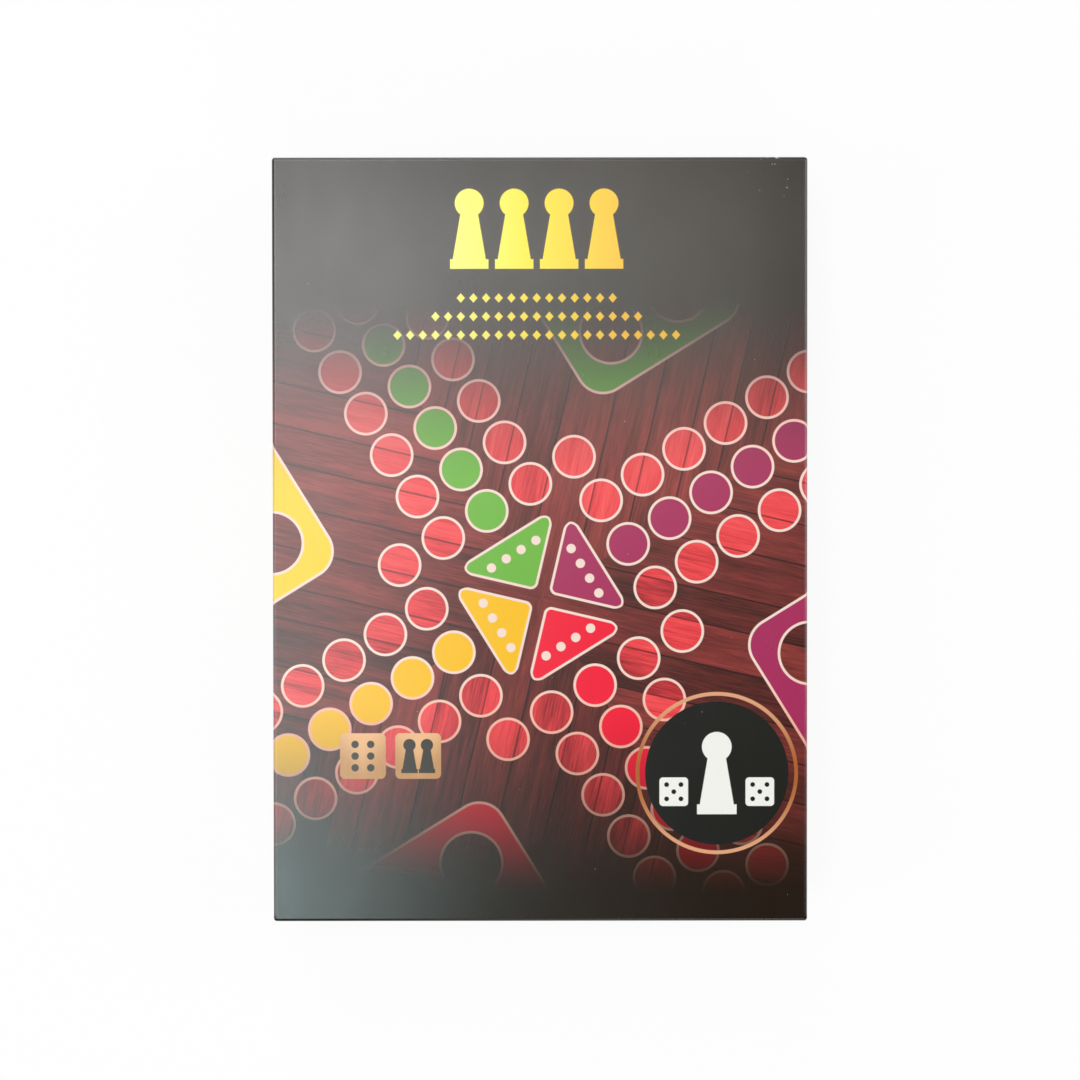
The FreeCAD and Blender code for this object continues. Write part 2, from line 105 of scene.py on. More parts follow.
CREAM = ink(246, 218, 205)
ROSE = ink(286, 222, 211)  # Past full red, because it shows only through the fade at the lid's head.
TAN = ink(248, 181, 161)
LEMON = ink(252, 206, 0)
NIGHT = ink(28, 19, 12)
EMBER = ink(30, 15, 1)
BARE_PAPER = ink(226, 222, 212)
WHITE = (1.0, 1.0, 1.0, 1.0)


class Team(Enum):
    """The four sets of pawns, each with its printed colour and that of its lacquered wood."""

    GREEN = ink(110, 180, 58), ink(92, 160, 52)
    YELLOW = ink(250, 190, 0), ink(238, 186, 40)
    RED = ink(243, 18, 54), ink(198, 34, 44)
    PURPLE = ink(168, 42, 91), ink(132, 48, 84)

    def __init__(self, printed: Colour, lacquer: Colour) -> None:
        """Keep the set's two colours."""
        self.printed = printed
        self.lacquer = lacquer


def arithmetic(operation: str, swapped: bool = False) -> Callable[["Field", Value], "Field"]:
    """Make an operator of a field.

    Args:
        operation: Operation of the Math node that it adds.
        swapped: Whether the field is the second of the two values.

    Returns:
        The operator.
    """
    def apply(field: "Field", other: Value) -> "Field":
        """Add the Math node."""
        return field.nodes.math(operation, *((other, field) if swapped else (field, other)))
    return apply


class Field:
    """One value of a node tree, with arithmetic that adds Math nodes; a comparison gives 1 or 0."""

    def __init__(self, nodes: "Nodes", socket: bpy.types.NodeSocket) -> None:
        """Wrap an output socket of the tree."""
        self.nodes = nodes
        self.socket = socket

    def __abs__(self) -> "Field":
        """Size of the value without its sign."""
        return self.nodes.math("ABSOLUTE", self)

    def __neg__(self) -> "Field":
        """The value with its sign turned."""
        return self * -1.0

    __add__ = __radd__ = arithmetic("ADD")
    __sub__, __rsub__ = arithmetic("SUBTRACT"), arithmetic("SUBTRACT", True)
    __mul__ = __rmul__ = arithmetic("MULTIPLY")
    __truediv__, __rtruediv__ = arithmetic("DIVIDE"), arithmetic("DIVIDE", True)
    __lt__, __gt__ = arithmetic("LESS_THAN"), arithmetic("GREATER_THAN")


class Nodes:
    """The node tree of a material or of the world, made one node at a time."""

    SOFT = 0.12

    def __init__(self, block: Union[Material, bpy.types.World]) -> None:
        """Start an empty tree.

        Args:
            block: Material or world that the tree belongs to.
        """
        self.block = block
        block.use_nodes = True
        self.tree = block.node_tree
        self.tree.nodes.clear()
        self.end = self.tree.nodes.new(f"ShaderNodeOutput{type(block).__name__}")

    def make(self, kind: str, settings: Optional[dict] = None, inputs: Optional[dict] = None,
             output: Union[int, str] = 0) -> Field:
        """Add any node.

        Args:
            kind: The node's type, without its ShaderNode prefix.
            settings: Attributes that are set first; stops are a ramp's places and colours.
            inputs: Values or fields by socket name or number.
            output: Name or number of the output wanted.

        Returns:
            The wanted output.
        """
        node = self.tree.nodes.new(f"ShaderNode{kind}")
        for name, value in (settings or {}).items():
            if name == "stops":
                steps = node.color_ramp.elements
                while len(steps) < len(value):
                    steps.new(1.0)
                for step, (place, colour) in zip(steps, value):
                    step.position = place
                    step.color = colour
            else:
                setattr(node, name, value)
        for key, value in (inputs or {}).items():
            if isinstance(value, Field):
                self.tree.links.new(value.socket, node.inputs[key])
            else:
                node.inputs[key].default_value = value
        return Field(self, node.outputs[output])

    def close(self, shader: Field) -> None:
        """Lead a shader to the output."""
        self.tree.links.new(shader.socket, self.end.inputs["Surface"])

    def math(self, operation: str, *values: Value) -> Field:
        """Add a Math node on the values, in order."""
        return self.make("Math", {"operation": operation}, dict(enumerate(values)))

    def least(self, *values: Value) -> Field:
        """Smallest of several values."""
        return reduce(partial(self.math, "MINIMUM"), values)

    def most(self, *values: Value) -> Field:
        """Largest of several values."""
        return reduce(partial(self.math, "MAXIMUM"), values)

    def span(self, first: Value, second: Value) -> Field:
        """Length of a step with two square sides."""
        return self.math("SQRT", self.math("POWER", first, 2.0) + self.math("POWER", second, 2.0))

    def whole(self, value: Field, low: float, high: float) -> Field:
        """Nearest whole number between two limits."""
        return self.least(self.most(self.math("ROUND", value), low), high)

    def ease(self, value: Field, start: float, end: float) -> Field:
        """Smooth rise from 0 at start to 1 at end, either way round."""
        inputs = {"Value": value, "From Min": start, "From Max": end}
        return self.make("MapRange", {"interpolation_type": "SMOOTHSTEP"}, inputs)

    def inside(self, distance: Field) -> Field:
        """1 where a signed distance in millimetres is below zero, with a soft edge."""
        return self.ease(distance, self.SOFT, -self.SOFT)

    def rounded(self, x: Field, y: Field, half: float, bend: float) -> Field:
        """Signed distance to a square of that half side, whose corners bend with that radius."""
        flat = half - bend
        return self.span(self.most(abs(x) - flat, 0.0), self.most(abs(y) - flat, 0.0)) - bend

    def vector(self, x: Value, y: Value, z: Value) -> Field:
        """A vector of three values."""
        return self.make("CombineXYZ", None, {"X": x, "Y": y, "Z": z})

    def noise(self, x: Value, y: Value, z: Value, detail: float = 3.0, rough: float = 0.55) -> Field:
        """Cloudy noise around one half, one cloud to a unit of the values."""
        inputs = {"Vector": self.vector(x, y, z), "Scale": 1.0, "Detail": detail, "Roughness": rough}
        return self.make("TexNoise", None, inputs)

    def ramp(self, value: Field, *stops: tuple[float, float, float, float]) -> Field:
        """Colour that follows a value through stops, each a place and an ink's red, green and blue."""
        inks = [(place, ink(*levels)) for place, *levels in stops]
        return self.make("ValToRGB", {"stops": inks}, {"Fac": value})

    def mix(self, under: Input, over: Input, share: Value) -> Field:
        """Colour over another one by a share."""
        return self.make("Mix", {"data_type": "RGBA"}, {0: share, 6: under, 7: over}, 2)

    def bump(self, height: Field, depth: float, strength: float, under: Optional[Field] = None) -> Field:
        """Normal of a relief.

        Args:
            height: Relief from 0 to 1.
            depth: Depth of the relief in millimetres.
            strength: Share of the relief that shows.
            under: Normal that the relief lies on.

        Returns:
            The new normal.
        """
        inputs: dict = {"Height": height, "Distance": depth * MM, "Strength": strength}
        if under is not None:
            inputs["Normal"] = under
        return self.make("Bump", None, inputs)


@dataclass
class Finish(Nodes):
    """A finish: its tree, the place on the surface in millimetres, and the colour laid so far."""

    name: str

    def material(self) -> Material:
        """Make the finish's material.

        Returns:
            The material.
        """
        super().__init__(bpy.data.materials.new(self.name))
        spot = self.make("TexCoord", None, None, "Object")
        places = self.make("SeparateXYZ", None, {"Vector": spot}).socket.node.outputs
        self.x, self.y, self.z = (Field(self, place) / MM for place in places)
        self.draw()
        return self.block

    def draw(self) -> None:
        """Draw the finish; each finish has its own way."""
        raise NotImplementedError

    def grain(self, size: Union[float, Spot], detail: float = 3.0, rough: float = 0.55) -> Field:
        """Noise with clouds of a size in millimetres, one for all axes or one for each."""
        sizes = size if isinstance(size, tuple) else (size, size, size)
        return self.noise(self.x / sizes[0], self.y / sizes[1], self.z / sizes[2], detail, rough)

    def lay(self, over: Input, share: Value) -> None:
        """Lay a colour over what is there by a share."""
        self.colour = self.mix(self.colour, over, share)

    def surface(self, roughness: Value, normal: Field, **others: Value) -> None:
        """Close the material with a Principled shader of the colour laid.

        Args:
            roughness: Roughness.
            normal: Normal.
            others: Other sockets by name, with underscores for spaces.
        """
        inputs = {"Base Color": self.colour, "Roughness": roughness, "Normal": normal}
        inputs.update({name.replace("_", " "): value for name, value in others.items()})
        self.close(self.make("BsdfPrincipled", None, inputs))


@dataclass(frozen=True)
class PlankPrint:
    """Picture of stained boards side by side, in millimetres."""

    width: float = 13.5
    scatter: float = 0.75
    seam: float = 0.4
    streak: float = 0.5
    streak_length: float = 10.0
    band: float = 4.5
    band_length: float = 60.0
    layer_gap: float = 43.0
    band_shift: float = 17.0
    streak_tone: float = 0.8
    band_tone: float = 0.75
    plank_tone: float = 0.3
    dark_tone: float = 0.35

    def draw(self, nodes: Nodes, across: Field, along: Field) -> tuple[Field, Field]:
        """Draw the boards.

        Args:
            nodes: Tree to draw in.
            across: Place across the boards.
            along: Place along the boards.

        Returns:
            The tone of the wood from 0 to 1, and 1 in the seams.
        """
        kind = {"voronoi_dimensions": "1D", "feature": "F1"}
        cells = {"W": across, "Scale": 1 / self.width, "Randomness": self.scatter}
        cell = nodes.make("TexVoronoi", kind, cells, "Color")
        plank = nodes.make("SeparateColor", None, {"Color": cell}, "Red")
        edge = nodes.make("TexVoronoi", {**kind, "feature": "DISTANCE_TO_EDGE"}, cells, "Distance")
        seam = nodes.ease(edge * self.width, self.seam, self.seam * 0.3)
        layer = plank * self.layer_gap
        streaks = nodes.noise(across / self.streak, along / self.streak_length, layer, 5.0, 0.6)
        bands = nodes.noise(across / self.band, along / self.band_length, layer + self.band_shift, 2.0)
        tone = (streaks - 0.5) * self.streak_tone + (bands - 0.5) * self.band_tone
        return tone + plank * self.plank_tone + self.dark_tone, seam


@dataclass
class LudoPrint:
    """Printed ludo board: arms of round spots, home triangles and yards on boards, in millimetres.

    p and q are the places along the arms of the purple and of the green set, glow is how much lighter
    the boards are printed, and edging is the colour of the lines.
    """

    nodes: Nodes
    p: Field
    q: Field
    glow: Value = 0.0
    edging: Input = CREAM
    planks: PlankPrint = PlankPrint()
    quarter_shift: Point = (131.7, 57.3)
    line: float = 0.85
    spot: float = 7.24
    first: float = 34.1
    step: float = 16.2
    pitch: float = 17.03
    last: float = 5.0
    yard_middle: Point = (79.4, 75.8)
    yard_half: float = 30.6
    yard_round: float = 9.3
    seat: float = 9.9
    seat_offset: float = 13.1
    home_side: float = 23.3
    home_tip: float = 2.9
    home_round: float = 2.5
    home_cut: float = 6.5
    home_lean: float = math.radians(67.5)
    pip: float = 1.55
    pip_row: float = 17.2
    pip_pitch: float = 5.8

    def paint(self) -> Field:
        """Paint the board.

        Returns:
            The colour of the print.
        """
        nodes = self.nodes
        self.p_side, self.q_side = self.p > 0.0, self.q > 0.0
        self.p_size, self.q_size = abs(self.p), abs(self.q)
        self.out = nodes.most(self.p_size, self.q_size)
        self.aside = nodes.least(self.p_size, self.q_size)
        arm_q = nodes.mix(Team.RED.printed, Team.GREEN.printed, self.q_side)
        arm_p = nodes.mix(Team.YELLOW.printed, Team.PURPLE.printed, self.p_side)
        self.arm = nodes.mix(arm_q, arm_p, self.p_size > self.q_size)
        self._boards()
        self._yards()
        self._spots()
        self._homes()
        return self.colour

    def _boards(self) -> None:
        """Lay the boards, which meet along the arms, and stain the wood for the spots."""
        nodes = self.nodes
        quarter = self.p_side * 2.0 + self.q_side
        across = (self.p_size - self.q_size) * SQUARE_HALF + quarter * self.quarter_shift[0]
        along = (self.p_size + self.q_size) * SQUARE_HALF + quarter * self.quarter_shift[1]
        tone, seam = self.planks.draw(nodes, across, along)
        tone = tone + self.glow
        wood = nodes.ramp(tone, (0.2, 62, 24, 20), (0.5, 110, 42, 37), (0.85, 162, 62, 58))
        self.colour = nodes.mix(wood, ink(28, 15, 13), seam * 0.85)
        stain = nodes.ramp(tone, (0.15, 138, 28, 34), (0.5, 234, 62, 68), (0.85, 255, 90, 92))
        self.stain = nodes.mix(stain, ink(92, 22, 24), seam * 0.8)

    def _outlined(self, fill: Input, distance: Field) -> None:
        """Lay a shape with a line round it."""
        self.colour = self.nodes.mix(self.colour, self.edging, self.nodes.inside(distance))
        self.colour = self.nodes.mix(self.colour, fill, self.nodes.inside(distance + self.line))

    def _yards(self) -> None:
        """Lay the four rounded yards, each with its round seats cut out."""
        nodes = self.nodes
        low = nodes.mix(Team.RED.printed, LEMON, self.q_side)
        high = nodes.mix(Team.PURPLE.printed, Team.GREEN.printed, self.q_side)
        p_off = abs(self.p_size - self.yard_middle[0])
        q_off = abs(self.q_size - self.yard_middle[1])
        rim = nodes.rounded(p_off, q_off, self.yard_half, self.yard_round)
        seat = self.seat - nodes.span(p_off - self.seat_offset, q_off - self.seat_offset)
        self._outlined(nodes.mix(low, high, self.p_side), nodes.most(rim, seat))

    def _spots(self) -> None:
        """Lay the round spots of the track and of the home columns."""
        nodes = self.nodes
        count = nodes.whole((self.out - self.first) / self.step, 0.0, self.last)
        column = nodes.whole(self.aside / self.pitch, 0.0, 1.0)
        track = nodes.span(self.out - self.first - count * self.step, self.aside - column * self.pitch)
        corner = nodes.span(self.out - self.first, self.aside - self.first)
        own = (column < 0.5) * (count < self.last - 0.5)
        self._outlined(nodes.mix(self.stain, self.arm, own), nodes.least(track, corner) - self.spot)

    def _homes(self) -> None:
        """Lay the four home triangles, each with a row of four dots."""
        nodes, out, aside = self.nodes, self.out, self.aside
        rise, run = (out - self.home_tip) * SQUARE_HALF - self.home_round, aside * SQUARE_HALF
        cos, sin = math.cos(self.home_lean), math.sin(self.home_lean)
        corner = self.home_side * cos + (self.home_side - self.home_tip) * sin
        nose = out * cos + aside * sin - corner + self.home_cut
        sides = [out - self.home_side + self.home_round, nose, run - rise, -run - rise]
        beyond = [nodes.most(side, 0.0) for side in sides]
        home = nodes.span(nodes.span(*beyond[:2]), nodes.span(*beyond[2:])) - self.home_round
        self._outlined(self.arm, home + nodes.least(nodes.most(*sides), 0.0))
        row = abs(aside - self.pip_pitch) - self.pip_pitch / 2
        dots = nodes.span(out - self.pip_row, row) - self.pip
        self.colour = nodes.mix(self.colour, self.edging, nodes.inside(dots))


@dataclass(frozen=True)
class PawnOutline:
    """Printed pawn that stands upright, in shares of its height."""

    head: float = 0.18
    head_up: float = 0.32
    taper: float = 0.17
    waist: float = 0.142
    body_half: float = 0.34
    body_down: float = 0.1
    foot: float = 0.24
    foot_half: float = 0.06
    foot_down: float = 0.44

    def draw(self, nodes: Nodes, x: Field, y: Field, height: float) -> Field:
        """Draw the pawn.

        Args:
            nodes: Tree to draw in.
            x: Place across, from the pawn's middle line.
            y: Place up, from the pawn's middle.
            height: Height of the pawn.

        Returns:
            The signed distance to it, below zero inside.
        """
        aside = abs(x)
        head = nodes.span(x, y - height * self.head_up) - height * self.head
        cone = aside + y * self.taper - height * self.waist
        body = nodes.most(cone, abs(y + height * self.body_down) - height * self.body_half)
        rise = abs(y + height * self.foot_down) - height * self.foot_half
        return nodes.least(head, body, nodes.most(aside - height * self.foot, rise))


@dataclass
class LidPrint(Finish):
    """Satin laminated print of the lid: a tilted ludo board that fades to black at both ends.

    Pairs are places across and up the lid, or the two ends of a fade, in millimetres. The pawn and the
    dice of the badge are in shares of its disc.
    """

    half_width: float
    half_length: float
    top: float
    depth: float
    pawn: PawnOutline = PawnOutline()
    wall: float = 1.4
    turn: float = math.radians(31.8)
    middle: Point = (0.3, -19.3)
    lighter: Point = (-30.0, 20.0)
    darker: Point = (-55.0, -87.0)
    tan_lines: Point = (-38.0, -64.0)
    rose_lines: Point = (15.0, 46.0)
    head_fade: Point = (84.0, 16.0)
    head_dip: float = 3.5
    head_dips: Point = (85.0, 25.0)
    foot_fade: Point = (-119.0, -53.0)
    foot_lift: float = 6.0
    foot_lifts: Point = (0.0, -80.0)
    title: Point = (-1.0, 103.2)
    title_height: float = 26.5
    title_pitch: float = 14.9
    rule_top: float = 80.3
    rule_pitch: float = 6.15
    rule_step: float = 4.2
    rule_steps: float = 6.5
    lozenge: float = 1.05
    lozenge_across: float = 0.75
    lozenge_up: float = 0.66
    badge: Point = (58.7, -77.6)
    badge_disc: float = 23.85
    badge_ring: float = 26.4
    ring_half: float = 0.62
    badge_pawn: float = 1.15
    die_across: float = 0.6
    die_down: float = 0.26
    die_half: float = 0.2
    die_spread: float = 0.1
    die_round: float = 1.2
    die_pip: float = 0.8
    tile_middle: Point = (-49.8, -71.8)
    tile_offset: float = 9.2
    tile_half: float = 7.6
    tile_round: float = 1.7
    tile_margin: float = 0.8
    pip: float = 1.25
    pip_offset: float = 2.6
    pip_pitch: float = 3.9
    pair_offset: float = 2.9
    pair_height: float = 11.4
    scuff: Point = (77.0, 122.0)
    scuffs: Point = (17.0, 3.0)

    def draw(self) -> None:
        """Draw the print over the folds and down the walls, and wear it."""
        self._unfold()
        self._board()
        self._title()
        self._badge()
        self._tiles()
        self.lay(NIGHT, self.inner * 0.8)
        worn, burnish = self._wear()
        self.lay(BARE_PAPER, worn)
        cloud = self.grain(46.0, 2.0)
        smear = self.grain((9.0, 26.0, 9.0), 4.0, 0.65)
        roughness = cloud * 0.05 + smear * 0.05 + worn * 0.3 + 0.21
        relief = self.bump(self.grain(0.4, 2.0), 0.02, 0.35, self.bump(cloud, 0.4, 0.12))
        self.surface(roughness, relief, Coat_Weight=burnish, Coat_Roughness=0.35, Coat_IOR=1.9)

    def _unfold(self) -> None:
        """Lay the walls flat round the top face, and mark the paper turned in under the rim."""
        self.down = self.top - self.z
        self.x_in, self.y_in = self.half_width - abs(self.x), self.half_length - abs(self.y)
        on_side = self.x_in < self.y_in
        self.u = self.x + self.math("SIGN", self.x) * self.down * on_side
        self.v = self.y + self.math("SIGN", self.y) * self.down * (1.0 - on_side)
        self.inner = (self.least(self.x_in, self.y_in) > self.wall) * (self.down > 2 * self.wall)

    def _board(self) -> None:
        """Lay the tilted board, which fades at the head and the foot."""
        u, v = self.u, self.v
        over, up = u - self.middle[0], v - self.middle[1]
        p = over * math.cos(self.turn) + up * math.sin(self.turn)
        q = up * math.cos(self.turn) - over * math.sin(self.turn)
        glow = self.ease(v, *self.lighter) * 0.13 - self.ease(u, *self.darker) * 0.07 - 0.03
        edging = self.mix(CREAM, TAN, self.ease(v, *self.tan_lines))
        edging = self.mix(edging, ROSE, self.ease(v, *self.rose_lines))
        board = LudoPrint(self, p, q, glow, edging).paint()
        head = self.ease(v + self.ease(u, *self.head_dips) * self.head_dip, *self.head_fade)
        foot = self.ease(v - self.ease(u, *self.foot_lifts) * self.foot_lift, *self.foot_fade)
        self.colour = self.mix(EMBER, self.mix(NIGHT, board, head), foot)

    def _title(self) -> None:
        """Lay a row of four pawns, and three rules of lozenges below it."""
        x, y = self.u - self.title[0], self.v - self.title[1]
        place = self.whole(x / self.title_pitch - 0.5, -2.0, 1.0) + 0.5
        pawn = self.pawn.draw(self, x - place * self.title_pitch, y, self.title_height)
        across = x / (4 * self.title_pitch) + 0.5
        gold = self.ramp(across, (0.0, 255, 252, 116), (0.45, 255, 226, 20), (1.0, 250, 188, 0))
        self.lay(ink(40, 34, 12), self.ease(pawn, 0.9, 0.0))
        self.lay(gold, self.inside(pawn))
        row = self.whole((self.rule_top - self.v) / self.rule_pitch, 0.0, 2.0)
        rise = abs(self.v - self.rule_top + row * self.rule_pitch)
        half = (row * (row + 3.0) / 2.0 + self.rule_steps) * self.rule_step
        cell = self.math("PINGPONG", x, self.rule_step / 2)
        lozenge = cell * self.lozenge_across + rise * self.lozenge_up - self.lozenge
        lozenge = self.most(lozenge, abs(x) - half)
        self.lay(self.mix(gold, NIGHT, 0.17), self.inside(lozenge))

    def _badge(self) -> None:
        """Lay a black disc in a copper ring, with a white pawn between two dice."""
        x, y, disc = self.u - self.badge[0], self.v - self.badge[1], self.badge_disc
        reach = self.span(x, y)
        self.lay(ink(26, 25, 20), self.inside(reach - disc))
        copper = self.mix(ink(176, 98, 46), ink(228, 164, 124), self.ease(abs(y), 2.0, self.badge_ring))
        self.lay(copper, self.inside(abs(reach - self.badge_ring) - self.ring_half))
        white = ink(244, 242, 236)
        self.lay(white, self.inside(self.pawn.draw(self, x, y, disc * self.badge_pawn)))
        die_x, die_y = abs(x) - disc * self.die_across, y + disc * self.die_down
        spread = disc * self.die_spread
        pips = self.least(self.span(die_x, die_y), self.span(abs(die_x) - spread, abs(die_y) - spread))
        die = self.rounded(die_x, die_y, disc * self.die_half, self.die_round)
        self.lay(white, self.inside(self.most(die, self.die_pip - pips)))

    def _tiles(self) -> None:
        """Lay two copper tiles, one with six pips and one with a pair of pawns."""
        x, y = self.u - self.tile_middle[0], self.v - self.tile_middle[1]
        local = abs(x) - self.tile_offset
        aside = abs(local)
        tile = self.rounded(local, y, self.tile_half, self.tile_round)
        sheen = self.ease(y - aside * 0.9, -10.0, 6.0)
        self.lay(self.mix(ink(194, 141, 88), ink(238, 182, 130), sheen), self.inside(tile))
        pips = self.span(aside - self.pip_offset, self.math("PINGPONG", y, self.pip_pitch / 2)) - self.pip
        pips = self.most(pips, abs(y) - self.pip_pitch * 4 / 3)
        pair = self.pawn.draw(self, aside - self.pair_offset, y, self.pair_height)
        mark = self.most(pips + (pair - pips) * (x > 0.0), tile + self.tile_margin)
        self.lay(ink(52, 40, 30), self.inside(mark))

    def _wear(self) -> tuple[Field, Field]:
        """Wear the folds and corners, and scatter a few specks.

        Returns:
            The share of bare paper that shows, and how far the folds are burnished.
        """
        fold = self.span(self.least(self.x_in, self.y_in), self.down)
        corner = self.span(self.x_in, self.y_in)
        edge = self.least(fold, corner + 0.3, self.depth - self.down + 0.6)
        away = self.span(self.x - self.scuff[0], self.y - self.scuff[1])
        scuffed = self.ease(away, *self.scuffs) * 0.1
        fray = self.grain(1.3, 5.0, 0.7) - edge * 0.2 + self.ease(corner, 5.0, 0.5) * 0.06 + scuffed
        speck = self.noise(self.x / 0.9 + 31.0, self.y / 0.9, self.z / 0.9, 1.0) + scuffed
        worn = self.most(self.ease(fray, 0.57, 0.65) * 0.8, self.ease(speck, 0.84, 0.86) * 0.5)
        return worn, self.ease(fold, 1.5, 0.4) * self.ease(self.y + self.half_length, 1.0, 3.0)


@dataclass
class BasePrint(Finish):
    """Satin laminated paper of the base: dark boards that run round the walls."""

    half_width: float
    half_length: float
    rim: float
    fold: float = 0.4
    side_shift: float = 310.0
    planks: PlankPrint = PlankPrint(width=10.5)

    def draw(self) -> None:
        """Draw the boards, and wear the paper along its edges."""
        x, y, z = self.x, self.y, self.z
        x_in, y_in = self.half_width - abs(x), self.half_length - abs(y)
        on_side = x_in < y_in
        along = y * on_side + x * (1.0 - on_side) + on_side * self.side_shift
        tone, seam = self.planks.draw(self, z + x * (z < self.fold), along)
        self.colour = self.ramp(tone, (0.2, 38, 20, 18), (0.5, 66, 34, 30), (0.85, 104, 50, 46))
        self.lay(ink(22, 12, 11), seam * 0.85)
        edge = self.least(self.span(x_in, y_in), self.rim - z, z)
        worn = self.ease(self.grain(1.2, 5.0, 0.7) - edge * 0.18, 0.6, 0.7) * 0.75
        self.lay(BARE_PAPER, worn)
        grit = self.bump(self.grain(0.4, 2.0), 0.02, 0.4)
        self.surface(self.grain(30.0) * 0.12 + worn * 0.3 + 0.3, grit)


@dataclass
class BoardFace(Finish):
    """Laminated face of one half of the playing board."""

    fold: float
    sense: float
    scale: float = 1.1

    def draw(self) -> None:
        """Draw the ludo board, cracked along the fold."""
        away = self.x - self.fold
        self.colour = LudoPrint(self, away * (self.sense * self.scale), self.y * self.scale).paint()
        crack = self.ease(abs(away), 1.6, 0.5) * self.grain((0.5, 1.4, 1.0), 4.0, 0.7)
        self.lay(BARE_PAPER, self.ease(crack, 0.45, 0.62) * 0.7)
        smear = self.grain((14.0, 22.0, 1.0), 4.0, 0.6)
        grit = self.bump(self.grain((0.35, 0.35, 1.0), 2.0), 0.02, 0.35)
        self.surface(smear * 0.14 + 0.28, grit)


@dataclass
class FibreFinish(Finish):
    """Board or paper made of pulp, with fibres, flecks and a little unevenness."""

    tint: Colour
    fleck: Colour
    fibre: float = 0.35
    flecks: float = 0.66
    roughness: float = 0.85
    relief: float = 0.05

    def draw(self) -> None:
        """Draw the clouds and fibres, and scatter the flecks."""
        size = self.fibre
        fibres = self.grain((size, size * 4.0, size), 4.0, 0.7)
        tone = self.ease(self.grain(22.0) * 0.3 + fibres * 0.7, 0.25, 0.7)
        self.colour = self.mix(deepened(self.tint, 0.8), self.tint, tone)
        flecks = self.noise(self.x / (size * 3.0), self.y / (size * 2.0), self.z / size + 9.0, 3.0, 0.75)
        self.lay(self.fleck, self.ease(flecks, self.flecks, self.flecks + 0.06) * 0.6)
        self.surface(fibres * 0.16 + self.roughness - 0.08, self.bump(fibres, self.relief, 0.6))


@dataclass
class CardFinish(Finish):
    """White-lined card, rubbed along its folds: lines along Y at the given X and Z."""

    folds: tuple[Point, ...]
    tint: Colour = ink(222, 218, 208)
    shade: Colour = ink(204, 198, 186)
    core: Colour = ink(150, 142, 130)

    def draw(self) -> None:
        """Draw the lining, with the core showing at the folds and in specks."""
        x, y, z = self.x, self.y, self.z
        near = self.least(*[self.span(x - fold_x, z - fold_z) for fold_x, fold_z in self.folds])
        fibres = self.grain((0.5, 1.6, 0.5), 4.0, 0.7)
        tone = self.ease(self.grain(26.0) * 0.35 + fibres * 0.65, 0.25, 0.7)
        self.colour = self.mix(self.shade, self.tint, tone)
        self.lay(self.core, self.ease(fibres - near * 0.12, 0.42, 0.56) * 0.65)
        specks = self.noise(x / 1.4 + 5.0, y / 1.4, z / 1.4, 3.0, 0.7)
        self.lay(self.core, self.ease(specks, 0.68, 0.74) * 0.4)
        self.surface(fibres * 0.12 + 0.6, self.bump(fibres, 0.04, 0.5))


@dataclass
class LeafletPrint(Finish):
    """Uncoated leaflet with a small board diagram and grey bars in two columns."""

    middle: Point
    diagram_up: float = 40.0
    diagram_half: float = 25.0
    diagram_scale: float = 5.4
    bar_pitch: float = 4.8
    bar_half: float = 0.55
    bars_up: float = -29.0
    bars_half: float = 34.0
    column: float = 23.5
    column_half: float = 20.0
    ragged: float = 5.6
    far: float = 200.0

    def draw(self) -> None:
        """Draw the paper, the diagram and the bars, which end unevenly on the right."""
        u, v = self.x - self.middle[0], self.y - self.middle[1]
        fibres = self.grain((0.3, 1.0, 0.3), 4.0, 0.7)
        self.colour = self.mix(BARE_PAPER, ink(242, 240, 233), self.ease(fibres, 0.35, 0.65))
        up = v - self.diagram_up
        diagram = LudoPrint(self, u * self.diagram_scale, up * self.diagram_scale).paint()
        self.lay(diagram, self.inside(self.most(abs(u), abs(up)) - self.diagram_half))
        line = self.math("PINGPONG", v + self.far, self.bar_pitch / 2) - self.bar_half
        row = self.math("FLOOR", (v + self.far) / self.bar_pitch)
        short = self.noise(row, self.math("SIGN", u), 3.0, 1.0) * (u > 0.0) * self.ragged
        column = abs(abs(u) - self.column) - self.column_half + short
        bars = self.most(line, column, abs(v - self.bars_up) - self.bars_half)
        self.lay(ink(122, 118, 112), self.inside(bars) * 0.8)
        self.surface(fibres * 0.1 + 0.72, self.bump(fibres, 0.02, 0.4))


@dataclass
class EmbossedPaper(Finish):
    """Black leather-grained backing paper of the playing board."""

    pebble: float = 1.1

    def draw(self) -> None:
        """Draw the pebbles, rubbed paler in places."""
        cells = {"Vector": self.vector(self.x / self.pebble, self.y / self.pebble, self.z), "Scale": 1.0}
        edge = self.make("TexVoronoi", {"feature": "DISTANCE_TO_EDGE"}, cells, "Distance")
        pebbles = self.ease(edge, 0.02, 0.22)
        rub = self.grain((18.0, 18.0, 1.0), 5.0, 0.65)
        self.colour = self.mix(ink(22, 22, 23), ink(46, 45, 44), pebbles * self.ease(rub, 0.4, 0.7))
        self.surface(0.62 - pebbles * 0.16 + rub * 0.1, self.bump(pebbles, 0.12, 0.7))


